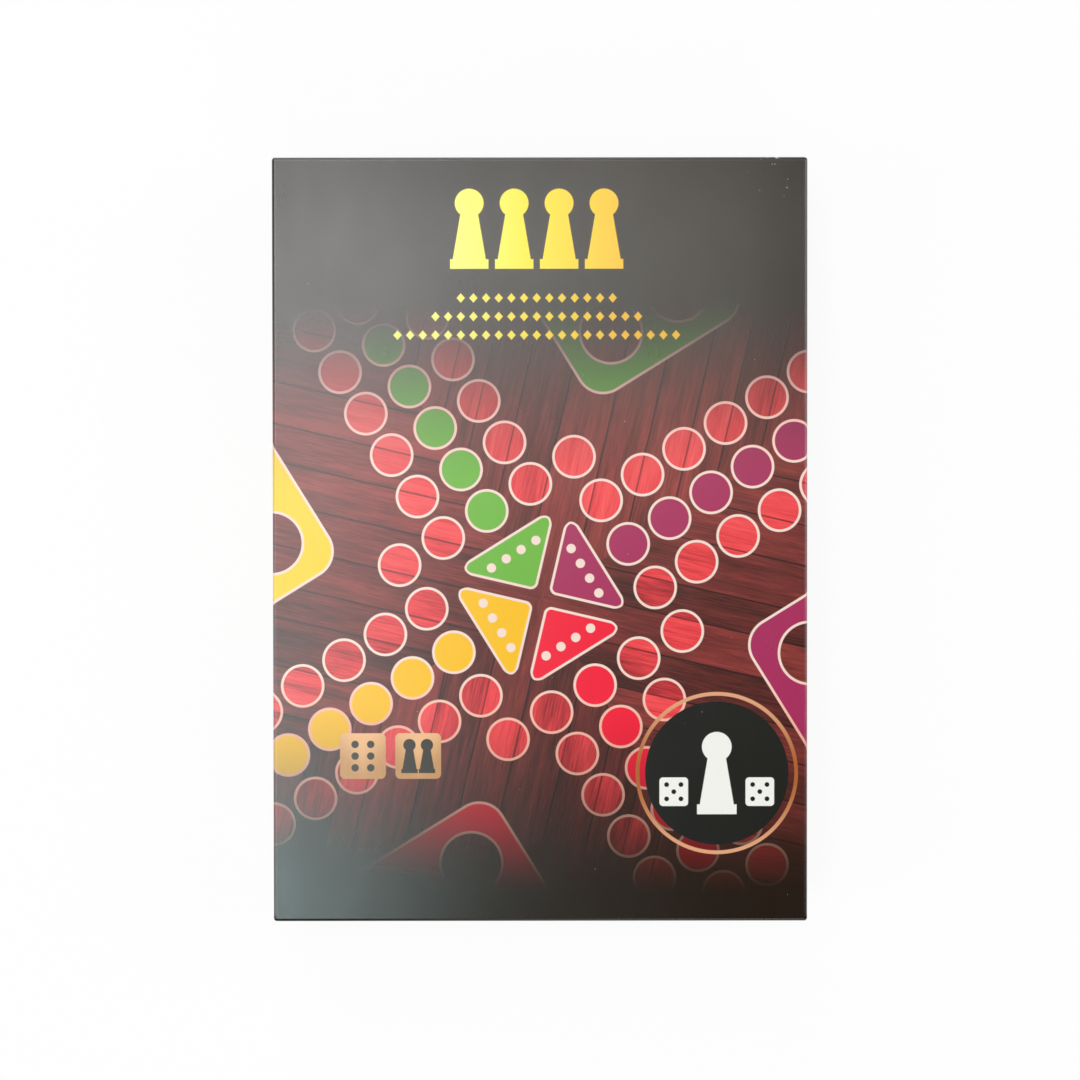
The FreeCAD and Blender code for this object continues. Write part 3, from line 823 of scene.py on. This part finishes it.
@dataclass
class LacquerFinish(Finish):
    """Lacquered turned wood with grain showing through and rubbed rims."""

    tint: Colour
    foot: float
    rim: float = 2.2

    def draw(self) -> None:
        """Draw the grain and pores, and rub the lacquer off the rims."""
        grain = self.grain((0.7, 0.7, 9.0), 5.0, 0.65)
        pores = self.grain((0.22, 0.22, 2.6), 2.0)
        deep = deepened(self.tint, 0.55)
        self.colour = self.mix(deep, self.tint, self.ease(grain, 0.3, 0.58))
        self.lay(deep, self.ease(pores, 0.6, 0.72) * 0.5)
        rise = self.z - self.foot
        rim = self.ease(self.least(abs(rise - self.rim), rise), 0.7, 0.05)
        worn = self.ease(self.grain(0.9, 4.0, 0.7) + rim * 0.16, 0.7, 0.76)
        self.lay(ink(206, 166, 112), worn * 0.85)
        turning = self.bump(self.noise(rise / 0.35, 0.0, 0.0, 2.0), 0.03, 0.35)
        relief = self.bump(grain - pores * 0.5, 0.05, 0.4, turning)
        self.surface(grain * 0.14 + worn * 0.3 + 0.24, relief, Coat_Weight=0.35, Coat_Roughness=0.16)


@dataclass
class DieFinish(Finish):
    """Waxed pale wood with black pips."""

    middle: Spot
    half: float
    reach: float
    ring: float = 0.7

    def draw(self) -> None:
        """Draw the year rings and pores, and blacken the edges and the pips."""
        places = zip((self.x, self.y, self.z), self.middle)
        self.x, self.y, self.z = (place - middle for place, middle in places)
        bend = self.grain((8.0, 20.0, 8.0))
        rings = self.span(self.x + 9.0, self.z + 22.0) + bend * 3.0
        ring = self.math("PINGPONG", rings, self.ring) / self.ring
        pores = self.grain((0.3, 3.2, 0.3), 4.0, 0.7)
        tone = self.ease(ring * 0.6 + pores * 0.5, 0.2, 0.8)
        self.colour = self.mix(ink(204, 164, 112), ink(232, 200, 152), tone)
        self.lay(ink(164, 118, 72), self.ease(pores, 0.62, 0.74) * 0.5)
        sizes = [abs(self.x), abs(self.y), abs(self.z)]
        largest = self.most(*sizes)
        second = sizes[0] + sizes[1] + sizes[2] - largest - self.least(*sizes)
        edge = self.ease(second, self.half - 2.2, self.half - 0.6)
        self.lay(ink(150, 108, 68), edge * self.ease(bend, 0.4, 0.6) * 0.5)
        self.lay(ink(28, 26, 24), (largest < self.half - 0.02) * (second < self.reach))
        self.surface(pores * 0.2 + 0.34, self.bump(pores, 0.04, 0.4))


def bevel(offset: float, segments: int) -> None:
    """Round the selected edges."""
    bpy.ops.mesh.bevel(offset=offset, offset_type="OFFSET", segments=segments, affect="EDGES")


class Workpiece:
    """A mesh under way, shaped in edit mode and finished with applied modifiers."""

    def __init__(self, obj: bpy.types.Object, name: str) -> None:
        """Take up an object to work on, and name it and its mesh."""
        self.obj = obj
        obj.name = obj.data.name = name

    @classmethod
    def added(cls, name: str, primitive: Callable[..., set], scale: Sequence[float] = (1.0, 1.0, 1.0),
              **settings: object) -> "Workpiece":
        """Start from a primitive, with its place and size settled into its mesh.

        Args:
            name: Name of the piece.
            primitive: Operator that adds it.
            scale: Scale of its three sides.
            settings: Settings of the operator.

        Returns:
            The workpiece.
        """
        bpy.ops.object.select_all(action="DESELECT")
        primitive(**settings)
        piece = cls(bpy.context.active_object, name)
        piece.obj.scale = scale
        bpy.ops.object.transform_apply(location=True, rotation=True, scale=True)
        return piece

    @classmethod
    def block(cls, name: str, low: Vector, high: Vector) -> "Workpiece":
        """Start from a cube that fills the box between two corners."""
        cube = bpy.ops.mesh.primitive_cube_add
        return cls.added(name, cube, high - low, size=1.0, location=(low + high) / 2)

    @classmethod
    def disc(cls, name: str, centre: Vector, radius: float, sides: int) -> "Workpiece":
        """Start from a filled circle."""
        circle = partial(bpy.ops.mesh.primitive_circle_add, fill_type="NGON")
        return cls.added(name, circle, vertices=sides, radius=radius, location=centre)

    def activate(self) -> None:
        """Make this the one selected and active object."""
        bpy.ops.object.select_all(action="DESELECT")
        self.obj.select_set(True)
        bpy.context.view_layer.objects.active = self.obj

    def edit(self) -> None:
        """Go into edit mode with everything selected."""
        self.activate()
        bpy.ops.object.mode_set(mode="EDIT")
        bpy.ops.mesh.select_all(action="SELECT")

    def done(self) -> None:
        """Leave edit mode."""
        bpy.ops.object.mode_set(mode="OBJECT")

    def pick_faces(self, wanted: Callable[[Vector], bool]) -> None:
        """Select just some faces.

        Args:
            wanted: Test of a face's normal.
        """
        bpy.ops.mesh.select_mode(type="FACE")
        bpy.ops.mesh.select_all(action="DESELECT")
        for face in bmesh.from_edit_mesh(self.obj.data).faces:
            face.select_set(wanted(face.normal))
        bmesh.update_edit_mesh(self.obj.data)

    def pick_edges(self, wanted: Callable[[Vector, Vector], bool]) -> None:
        """Select just some edges.

        Args:
            wanted: Test of an edge's two ends.
        """
        bpy.ops.mesh.select_mode(type="EDGE")
        bpy.ops.mesh.select_all(action="DESELECT")
        for edge in bmesh.from_edit_mesh(self.obj.data).edges:
            edge.select_set(wanted(edge.verts[0].co, edge.verts[1].co))
        bmesh.update_edit_mesh(self.obj.data)

    def modify(self, kind: str, **settings: object) -> None:
        """Add a modifier and apply it.

        Args:
            kind: Type of the modifier.
            settings: Its settings.
        """
        self.activate()
        modifier = self.obj.modifiers.new(kind.lower(), kind)
        for name, value in settings.items():
            setattr(modifier, name, value)
        bpy.ops.object.modifier_apply(modifier=modifier.name)

    def carve(self, cutter: "Workpiece") -> None:
        """Cut another workpiece out of this one and throw it away."""
        self.modify("BOOLEAN", operation="DIFFERENCE", solver="EXACT", object=cutter.obj)
        bpy.data.objects.remove(cutter.obj, do_unlink=True)

    def smooth(self, degrees: float) -> None:
        """Shade the active piece smooth across edges that turn less, and keep large faces flat."""
        bpy.ops.object.shade_smooth_by_angle(angle=math.radians(degrees))
        self.modify("WEIGHTED_NORMAL", weight=100, keep_sharp=True)

    def copy_to(self, name: str, offset: Vector) -> "Workpiece":
        """Copy the piece, with its own mesh, to another place.

        Args:
            name: Name of the copy.
            offset: How far off it stands.

        Returns:
            The copy.
        """
        obj = self.obj.copy()
        obj.data = self.obj.data.copy()
        bpy.context.scene.collection.objects.link(obj)
        copy = Workpiece(obj, name)
        copy.edit()
        bpy.ops.transform.translate(value=offset)
        copy.done()
        return copy

    def place(self, materials: Sequence[Material], body: str, slot: str, node: str) -> None:
        """Dress the finished piece and hang it in the frame.

        Args:
            materials: Materials by slot number.
            body: Body that the piece rides on.
            slot: Name of a material slot; not used.
            node: Node that the piece replaces.
        """
        self.obj.data.materials.clear()
        for material in materials:
            self.obj.data.materials.append(material)
        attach(self.obj, body)
        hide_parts(node)
        log.info("%s rides on %s with %d faces", self.obj.name, body, len(self.obj.data.polygons))


def dress(node: str, material: Material) -> None:
    """Give a node of the frame its material.

    Args:
        node: The node.
        material: Its material.
    """
    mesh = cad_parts[node].data
    mesh.materials.clear()
    mesh.materials.append(material)
    log.info("%s is dressed in %s", node, material.name)


def foot_of(node: str) -> Vector:
    """Middle of a node's underside."""
    low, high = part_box(node)
    return Vector(((low.x + high.x) / 2, (low.y + high.y) / 2, low.z))


def folded_card(name: str, line: Sequence[Point], ends: Point, card: float,
                radii: Sequence[float]) -> Workpiece:
    """Bend a strip of card along a line.

    Args:
        name: Name of the piece.
        line: X and Z of the strip's shown side, panel by panel; the card lies to the right of the way.
        ends: Y of the strip's two ends.
        card: Thickness of the card.
        radii: Radius of each fold, in order.

    Returns:
        The bent card, with its thickness.
    """
    (x, z), (first_x, first_z) = line[:2]
    strip = Workpiece.added(name, bpy.ops.mesh.primitive_plane_add, (card, ends[1] - ends[0], 1.0),
                            size=1.0, location=(x + card / 2, sum(ends) / 2, z))
    strip.edit()
    strip.pick_edges(lambda a, b: max(a.x, b.x) > x + card / 2 and abs(a.x - b.x) < card / 2)
    bpy.ops.transform.translate(value=(first_x - x - card, 0.0, first_z - z))
    for here, there in zip(line[1:], line[2:]):
        step = (there[0] - here[0], 0.0, there[1] - here[1])
        bpy.ops.mesh.extrude_edges_move(TRANSFORM_OT_translate={"value": step})
    for fold, radius in zip(line[1:-1], radii):
        strip.pick_edges(lambda a, b: all(math.dist((v.x, v.z), fold) < card / 10 for v in (a, b)))
        bevel(radius, 4)
    strip.done()
    strip.modify("SOLIDIFY", thickness=card, offset=-1.0, use_even_offset=True)
    return strip


@dataclass
class WrappedTray:
    """Chipboard tray with taped corners, wrapped in printed paper that turns in over its rim."""

    prefix: str
    opens: float
    paper: float = 0.24 * MM
    chipboard: float = 1.5 * MM
    play: float = 0.02 * MM
    turn_in: float = 18.0 * MM
    fold: float = 1.05 * MM
    rim_fold: float = 0.25 * MM
    wall_share: float = 0.5
    inside_share: float = 0.15
    back_share: float = 0.22
    map_margin: float = 0.01

    def __post_init__(self) -> None:
        """Read the tray's box from the frame."""
        self.low, self.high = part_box(f"{self.prefix}_wrap")
        self.face, self.rim = (self.low.z, self.high.z) if self.opens > 0 else (self.high.z, self.low.z)
        self.half = Vector(((self.high.x - self.low.x) / 2, (self.high.y - self.low.y) / 2))
        self.depth = self.high.z - self.low.z
        self.lining = self.chipboard + 2 * self.paper + self.play
        self.near = self.fold / 10

    def build(self) -> Workpiece:
        """Model the wrap.

        Returns:
            The wrap, with the print on its first slot and bare paper on its second.
        """
        wrap = Workpiece.block(f"{self.prefix}_wrap_paper", self.low, self.high)
        wrap.edit()
        wrap.pick_faces(lambda normal: normal.z * self.opens > 0.5)
        bpy.ops.mesh.delete(type="FACE")
        wrap.pick_edges(lambda a, b: abs(a.z - b.z) > self.near or abs(a.z - self.face) < self.near)
        bevel(self.fold, 5)
        wrap.pick_edges(self._at_rim)
        shrink = (1 - self.lining / self.half.x, 1 - self.lining / self.half.y, 1.0)
        bpy.ops.mesh.extrude_edges_move()
        bpy.ops.transform.resize(value=shrink, center_override=(0.0, 0.0, self.rim))
        inward = (0.0, 0.0, -self.opens * self.turn_in)
        bpy.ops.mesh.extrude_edges_move(TRANSFORM_OT_translate={"value": inward})
        wrap.pick_edges(self._runs_round)
        bevel(self.rim_fold, 2)
        wrap.done()
        wrap.obj.data.materials.append(None)
        wrap.obj.data.materials.append(None)
        wrap.modify("SOLIDIFY", thickness=self.paper, offset=-1.0, use_even_offset=True,
                    material_offset=1, material_offset_rim=1)
        self._lay_out(wrap.obj.data)
        wrap.smooth(40.0)
        return wrap

    def _at_rim(self, a: Vector, b: Vector) -> bool:
        """Whether an edge lies at the rim."""
        return abs(a.z - self.rim) < self.near and abs(b.z - self.rim) < self.near

    def _runs_round(self, a: Vector, b: Vector) -> bool:
        """Whether an edge lies at the rim and runs round the tray, not across its wall."""
        inward = [min(self.half.x - abs(v.x), self.half.y - abs(v.y)) for v in (a, b)]
        return self._at_rim(a, b) and abs(inward[0] - inward[1]) < self.lining / 2

    def _lay_out(self, mesh: bpy.types.Mesh) -> None:
        """Lay the paper out flat on a map that gives the face of the tray the most room.

        Args:
            mesh: Mesh of the wrap.
        """
        sides = self.wall_share * (self.depth + 3 * self.chipboard) + self.inside_share * self.turn_in
        reach = self.half + Vector((sides, sides))
        unit = (1 - 2 * self.map_margin) / (2 * reach.y)
        front = Vector((self.map_margin, self.map_margin))
        back = front + Vector((2 * reach.x * unit + self.map_margin, 0.0))
        layer = mesh.uv_layers.new(name="OFBake")
        for face in mesh.polygons:
            corner, share = (back, unit * self.back_share) if face.material_index == 1 else (front, unit)
            for loop in face.loop_indices:
                spot = mesh.vertices[mesh.loops[loop].vertex_index].co
                layer.data[loop].uv = corner + (self._flat(spot, face.center) + reach) * share

    def _flat(self, spot: Vector, centre: Vector) -> Vector:
        """Place of a point of the paper when it is laid flat.

        Args:
            spot: The point.
            centre: Middle of the point's face.

        Returns:
            The flat place, from the middle of the tray's face.
        """
        down, level = abs(spot.z - self.face), abs(centre.z - self.face)
        inward = [self.half[axis] - abs(centre[axis]) for axis in (0, 1)]
        axis = 0 if inward[0] <= inward[1] else 1
        turned = level > self.depth - 2 * self.rim_fold or (
            inward[axis] > self.chipboard / 2 and level > 2 * self.chipboard)
        flat = Vector((spot.x, spot.y))
        sign = math.copysign(1.0, centre[axis])
        if turned:
            past = self.half[axis] - abs(spot[axis])
            flat[axis] = sign * (self.half[axis] + self.wall_share * (self.depth + past)
                                 + self.inside_share * (self.depth - down))
        else:
            flat[axis] += sign * self.wall_share * down
        return flat

    def dress(self, finish: Finish, bare: Material, grey: Material, tape: Material) -> None:
        """Build the wrap and dress the whole tray.

        Args:
            finish: Printed side of the wrap.
            bare: Back and cut edge of the wrap.
            grey: Chipboard.
            tape: Corner stays.
        """
        node = f"{self.prefix}_wrap"
        self.build().place([finish.material(), bare], self.prefix, f"{self.prefix}_print", node)
        dress(f"{self.prefix}_board", grey)
        dress(f"{self.prefix}_corner_stays", tape)


@dataclass
class CardInsert:
    """Folded card platform that carries the board on a deck beside a trough."""

    card: float = 0.8 * MM
    outer_fold: float = 0.9 * MM
    inner_fold: float = 0.2 * MM
    trough_width: float = 46.2 * MM
    deck: float = 35.05 * MM
    notch: float = 12.0 * MM
    notch_depth: float = 10.0 * MM
    notch_sides: int = 48

    def dress(self) -> None:
        """Bend the card, cut its finger notch and dress it."""
        low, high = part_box("insert_platform")
        right, floor = high.x - self.card, low.z + self.card
        step = right - self.trough_width
        line = [(low.x, low.z), (low.x, self.deck), (step, self.deck), (step, floor), (right, floor),
                (right, high.z)]
        radii = [self.outer_fold] * 2 + [self.inner_fold] * 2
        insert = folded_card("insert_card", line, (low.y, high.y), self.card, radii)
        middle = Vector((step, 0.0, self.deck - self.notch_depth))
        cutter = Workpiece.disc("notch_cutter", middle, self.notch, self.notch_sides)
        cutter.edit()
        rise = (0.0, 0.0, 2 * self.notch_depth)
        bpy.ops.mesh.extrude_region_move(TRANSFORM_OT_translate={"value": rise})
        bpy.ops.mesh.select_all(action="SELECT")
        bpy.ops.mesh.normals_make_consistent(inside=False)
        cutter.done()
        insert.carve(cutter)
        insert.smooth(25.0)
        folds = tuple((x / MM, z / MM) for x, z in line[1:5])
        finish = CardFinish("insert_card", folds)
        insert.place([finish.material()], "insert", "insert_card", "insert_platform")


@dataclass
class PieceRacks:
    """Two folded card strips in the trough, with a slot for each set of pawns and the die between them."""

    card: float = 0.8 * MM
    fold: float = 0.9 * MM
    row_pitch: float = 22.0 * MM
    slot_half: float = 6.9 * MM
    slot_start: float = 21.6 * MM
    slot_end: float = 101.4 * MM

    def dress(self) -> None:
        """Bend both cards, cut their slots and dress them."""
        low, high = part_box("piece_rack_near")
        folds = ((low.x / MM, high.z / MM), (high.x / MM, high.z / MM))
        material = CardFinish("rack_card", folds).material()
        slots = {"near": (-self.slot_end, -self.slot_start), "far": (self.slot_start, self.slot_end)}
        for end, slot in slots.items():
            rack = self._bend(end, slot)
            rack.place([material], f"rack_{end}", "insert_card", f"piece_rack_{end}")

    def _bend(self, end: str, slot: Point) -> Workpiece:
        """Bend one card and cut its two slots.

        Args:
            end: The rack's end of the box.
            slot: Y of the slots' two ends.

        Returns:
            The rack.
        """
        low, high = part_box(f"piece_rack_{end}")
        line = [(low.x, low.z), (low.x, high.z), (high.x, high.z), (high.x, low.z)]
        rack = folded_card(f"rack_card_{end}", line, (low.y, high.y), self.card, [self.fold, self.fold])
        for row in (-0.5, 0.5):
            x = (low.x + high.x) / 2 + row * self.row_pitch
            corners = (Vector((x + side * self.slot_half, y, high.z + side * 3 * self.card))
                       for side, y in zip((-1, 1), slot))
            cutter = Workpiece.block("slot_cutter", *corners)
            cutter.edit()
            cutter.pick_edges(lambda a, b: abs(a.z - b.z) > self.card)
            bevel(self.card, 4)
            cutter.done()
            rack.carve(cutter)
        rack.smooth(25.0)
        return rack


@dataclass
class RulesLeaflet:
    """Sheet of paper folded once, under the board."""

    paper: float = 0.2 * MM
    bend_share: float = 0.45

    def dress(self) -> None:
        """Fold the sheet and dress it."""
        low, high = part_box("rules_leaflet")
        line = [(high.x, low.z), (low.x, low.z), (low.x, high.z), (high.x, high.z)]
        bend = (high.z - low.z) * self.bend_share
        leaflet = folded_card("leaflet_sheet", line, (low.y, high.y), self.paper, [bend, bend])
        leaflet.smooth(30.0)
        foot = foot_of("rules_leaflet") / MM
        finish = LeafletPrint("leaflet_paper", (foot.x, foot.y))
        leaflet.place([finish.material()], "leaflet", "leaflet_paper", "rules_leaflet")


@dataclass
class GameBoard:
    """Playing board in two halves, hinged on the crease of its printed paper."""

    paper: float = 0.12 * MM
    bend_share: float = 0.9

    def dress(self, grey: Material) -> None:
        """Model the crease and dress both halves.

        Args:
            grey: Chipboard of the cores.
        """
        low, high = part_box("board_crease")
        fold = (low.x + high.x) / 2
        backing = EmbossedPaper("board_backing").material()
        for half, sense in (("lower", 1.0), ("upper", -1.0)):
            face = BoardFace(f"board_{half}_print", fold / MM, sense)
            dress(f"board_{half}_print", face.material())
            dress(f"board_{half}_core", grey)
            dress(f"board_{half}_backing", backing)
        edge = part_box("board_lower_print")[0].x
        radius = (high.z - low.z) / 2
        line = [(edge, low.z), (fold - radius, low.z), (fold - radius, high.z), (edge, high.z)]
        bends = [radius * self.bend_share] * 2
        strip = folded_card("board_crease_paper", line, (low.y, high.y), self.paper, bends)
        strip.smooth(40.0)
        strip.obj.data.materials.append(BoardFace("board_crease_print", fold / MM, 1.0).material())
        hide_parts("board_crease")
        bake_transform(strip.obj)
        log.info("%s bends between the halves of the board", strip.obj.name)


@dataclass
class PawnSet:
    """Sixteen turned wooden pawns, four of each colour."""

    count: int = 4
    sides: int = 44
    foot_height: float = 2.6 * MM
    bevel: float = 0.6 * MM
    waist: float = 5.0 * MM
    neck: float = 2.5 * MM
    head: float = 4.4 * MM
    sweep: float = 24.0 * MM
    waist_steps: int = 9
    head_steps: int = 13

    def _profile(self, base: float, height: float) -> list[Point]:
        """Radius and height of each ring, from the foot's lower edge to the top of the head.

        Args:
            base: Radius of the foot.
            height: Height of the pawn.

        Returns:
            The rings in order.
        """
        ease = self.bevel / 2
        rings = [(base - ease, 0.0), (base - ease * 0.3, ease * 0.3), (base, ease),
                 (base, self.foot_height - 2 * self.bevel),
                 (base - ease * 0.4, self.foot_height - self.bevel),
                 (self.waist + ease, self.foot_height - ease * 0.3)]
        middle = height - self.head
        neck_z = middle - math.sqrt(self.head ** 2 - self.neck ** 2)
        start = Vector((self.waist, self.foot_height))
        chord = Vector((self.neck, neck_z)) - start
        half = chord.length / 2
        out = Vector((chord.y, -chord.x)).normalized()
        centre = start + chord / 2 + out * math.sqrt(self.sweep ** 2 - half ** 2)
        turn = math.asin(half / self.sweep)
        for index in range(self.waist_steps + 1):
            angle = turn * (2 * index / self.waist_steps - 1)
            along = chord.normalized() * math.sin(angle) * self.sweep
            spot = centre - out * math.cos(angle) * self.sweep + along
            rings.append((spot.x, spot.y))
        low = -math.acos(self.neck / self.head)
        for index in range(1, self.head_steps):
            angle = low + (math.pi / 2 - low) * index / self.head_steps
            rings.append((self.head * math.cos(angle), middle + self.head * math.sin(angle)))
        return rings

    def _turn(self, node: str) -> Workpiece:
        """Turn one pawn.

        Args:
            node: Node in whose place it stands.

        Returns:
            The pawn.
        """
        low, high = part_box(node)
        middle = foot_of(node)
        rings = self._profile((high.x - low.x) / 2, high.z - low.z)
        pawn = Workpiece.disc("pawn_blank", middle, rings[0][0], self.sides)
        pawn.edit()
        bpy.ops.mesh.select_mode(type="FACE")
        bpy.ops.mesh.flip_normals()
        for here, there in zip(rings, rings[1:]):
            rise = (0.0, 0.0, there[1] - here[1])
            bpy.ops.mesh.extrude_region_move(TRANSFORM_OT_translate={"value": rise})
            scale = there[0] / here[0]
            bpy.ops.transform.resize(value=(scale, scale, 1.0), center_override=middle)
        bpy.ops.mesh.poke()
        bpy.ops.mesh.select_all(action="SELECT")
        bpy.ops.mesh.normals_make_consistent(inside=False)
        pawn.done()
        pawn.smooth(38.0)
        return pawn

    def dress(self) -> None:
        """Turn one pawn, and set a copy of it in each place of the racks."""
        first = f"pawn_{Team.GREEN.name.lower()}_1"
        blank, start = self._turn(first), foot_of(first)
        for team in Team:
            slot = f"pawn_{team.name.lower()}"
            material = LacquerFinish(slot, team.lacquer, start.z / MM).material()
            for number in range(1, self.count + 1):
                node = f"{slot}_{number}"
                pawn = blank.copy_to(f"turned_{node}", foot_of(node) - start)
                pawn.place([material], node, slot, node)
        bpy.data.objects.remove(blank.obj, do_unlink=True)


@dataclass
class Die:
    """Wooden die with round drilled pips; opposite faces add up to seven."""

    rounding: float = 1.6 * MM
    pip: float = 1.3 * MM
    depth: float = 0.45 * MM
    spread: float = 3.6 * MM
    play: float = 0.1 * MM

    def dress(self) -> None:
        """Round a cube, drill its pips and dress it."""
        low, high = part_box("die")
        middle = (low + high) / 2
        half = (high.x - low.x) / 2
        die = Workpiece.block("wooden_die", low, high)
        die.edit()
        bevel(self.rounding, 5)
        die.done()
        radius = (self.pip ** 2 + self.depth ** 2) / (2 * self.depth)
        ball = partial(bpy.ops.mesh.primitive_uv_sphere_add, segments=24, ring_count=14, radius=radius)
        balls = []
        for axis, side, count in ((0, 1, 3), (0, -1, 4), (1, 1, 2), (1, -1, 5), (2, 1, 6), (2, -1, 1)):
            for steps in self._places(count):
                spot = [step * self.spread for step in steps]
                spot.insert(axis, side * (half + radius - self.depth))
                name = f"pip_cutter_{len(balls)}"
                balls.append(Workpiece.added(name, ball, location=middle + Vector(spot)))
        balls[0].activate()
        for cutter in balls[1:]:
            cutter.obj.select_set(True)
        bpy.ops.object.join()
        die.carve(balls[0])
        die.smooth(30.0)
        reach = (self.spread + self.pip + self.play) / MM
        finish = DieFinish("die_wood", tuple(middle / MM), half / MM, reach)
        die.place([finish.material()], "die", "die_wood", "die")

    @staticmethod
    def _places(count: int) -> list[Point]:
        """Places of the pips of one face, in units of their spread."""
        corners = [(-1, -1), (1, 1), (-1, 1), (1, -1), (-1, 0), (1, 0)]
        return corners[:count - count % 2] + [(0, 0)] * (count % 2)


@dataclass(frozen=True)
class Lamp:
    """Soft lamp that faces the middle of the lid; its place is above the lid's top face, in metres."""

    name: str
    place: Spot
    size: Point
    power: float
    tint: Spot = (1.0, 1.0, 1.0)

    def hang(self, top: float) -> None:
        """Hang the lamp.

        Args:
            top: Height of the lid's top face.
        """
        bpy.ops.object.light_add(type="AREA", location=(self.place[0], self.place[1], self.place[2] + top))
        lamp = bpy.context.active_object
        lamp.name = self.name
        lamp.data.shape = "RECTANGLE"
        lamp.data.size, lamp.data.size_y = self.size
        lamp.data.energy = self.power
        lamp.data.color = self.tint
        lamp.visible_camera = False
        lamp.rotation_euler = Vector(self.place).to_track_quat("Z", "Y").to_euler()


@dataclass
class Studio:
    """Pale floor, soft lamps and the camera above the box."""

    frame_width: float = 358.7 * MM
    distance: float = 620.0 * MM
    tilt: float = math.radians(0.68)
    roll: float = math.radians(-0.07)
    sensor: float = 36.0
    floor_half: float = 3.0
    floor_shadow: float = 0.08
    world: float = 0.06
    lamps: tuple[Lamp, ...] = (
        Lamp("lamp_head_left", (-0.235, 0.235, 1.1), (0.3, 0.3), 2.66),
        Lamp("lamp_head_right", (0.085, 0.25, 1.1), (0.3, 0.28), 1.18, (1.0, 0.98, 0.9)),
        Lamp("lamp_left", (-0.29, -0.075, 1.1), (0.2, 0.3), 1.1),
        Lamp("lamp_foot_left", (-0.285, -0.32, 1.1), (0.26, 0.16), 1.85, (0.74, 1.0, 1.0)),
        Lamp("lamp_front", (0.3, -1.28, 0.92), (0.8, 0.8), 6.0),
        Lamp("lamp_right", (1.28, 0.3, 0.92), (0.8, 0.8), 6.0),
        Lamp("lamp_back", (-0.3, 1.28, 0.92), (0.8, 0.8), 6.0),
        Lamp("lamp_side", (-1.28, -0.3, 0.92), (0.8, 0.8), 6.0),
    )

    def build(self) -> None:
        """Set up the floor, the world, the lamps and the camera."""
        self._floor()
        self._world()
        for lamp in self.lamps:
            lamp.hang(CAD_BOX[1].z)
        self._camera()
        bpy.context.scene.view_settings.view_transform = "Standard"

    def _floor(self) -> None:
        """Lay a white floor that keeps a soft shadow."""
        floor = Workpiece.added("floor", bpy.ops.mesh.primitive_plane_add, size=2 * self.floor_half).obj
        nodes = Nodes(bpy.data.materials.new("floor_white"))
        kinds = ("Camera", "Glossy", "Transmission")
        rays = [nodes.make("LightPath", None, None, f"Is {kind} Ray") for kind in kinds]
        seen = nodes.least(rays[0] + rays[1] + rays[2], 1.0)
        matte = nodes.make("BsdfDiffuse", None, {"Color": ink(246, 246, 246)})
        glow = nodes.make("Emission", None, {"Color": WHITE, "Strength": 1.0})
        nodes.close(nodes.make("MixShader", None, {0: seen * (1.0 - self.floor_shadow), 1: matte, 2: glow}))
        floor.data.materials.append(nodes.block)

    def _world(self) -> None:
        """Make a dim neutral world that shows the camera the pale tone of the far floor."""
        nodes = Nodes(bpy.data.worlds.new("studio"))
        seen = nodes.make("LightPath", None, None, "Is Camera Ray")
        levels = {"Value": seen, "To Min": self.world, "To Max": 1.0 - self.floor_shadow}
        strength = nodes.make("MapRange", None, levels)
        nodes.close(nodes.make("Background", None, {"Color": WHITE, "Strength": strength}))
        bpy.context.scene.world = nodes.block

    def _camera(self) -> None:
        """Look straight down on the lid, a touch from its head end."""
        back = Vector((0.0, math.sin(self.tilt), math.cos(self.tilt)))
        bpy.ops.object.camera_add(location=Vector((0.0, 0.0, CAD_BOX[1].z)) + back * self.distance)
        camera = bpy.context.active_object
        camera.rotation_euler = (-self.tilt, 0.0, self.roll)
        camera.data.sensor_width = self.sensor
        camera.data.lens = self.sensor * self.distance / self.frame_width
        bpy.context.scene.camera = camera


def main() -> None:
    """Build and dress each sub-assembly, then the studio round them."""
    logging.basicConfig(level=logging.INFO, format="%(name)s: %(message)s")
    grey = FibreFinish("greyboard", ink(172, 164, 150), ink(104, 98, 90)).material()
    tape = FibreFinish("stay_paper", ink(186, 148, 104), ink(130, 96, 62), fibre=0.25).material()
    bare = FibreFinish("bare_paper", BARE_PAPER, ink(190, 184, 172), fibre=0.2, flecks=0.72).material()
    lid, base = WrappedTray("lid", -1.0), WrappedTray("base", 1.0)
    lid_print = LidPrint("lid_print", *lid.half / MM, lid.face / MM, lid.depth / MM)
    lid.dress(lid_print, bare, grey, tape)
    base.dress(BasePrint("base_print", *base.half / MM, base.rim / MM), bare, grey, tape)
    sheet = FibreFinish("bottom_paper", ink(232, 229, 220), ink(170, 164, 152), fibre=0.3, flecks=0.7)
    dress("base_bottom_sheet", sheet.material())
    CardInsert().dress()
    PieceRacks().dress()
    RulesLeaflet().dress()
    GameBoard().dress(grey)
    PawnSet().dress()
    Die().dress()
    Studio().build()


if __name__ == "__main__":
    main()
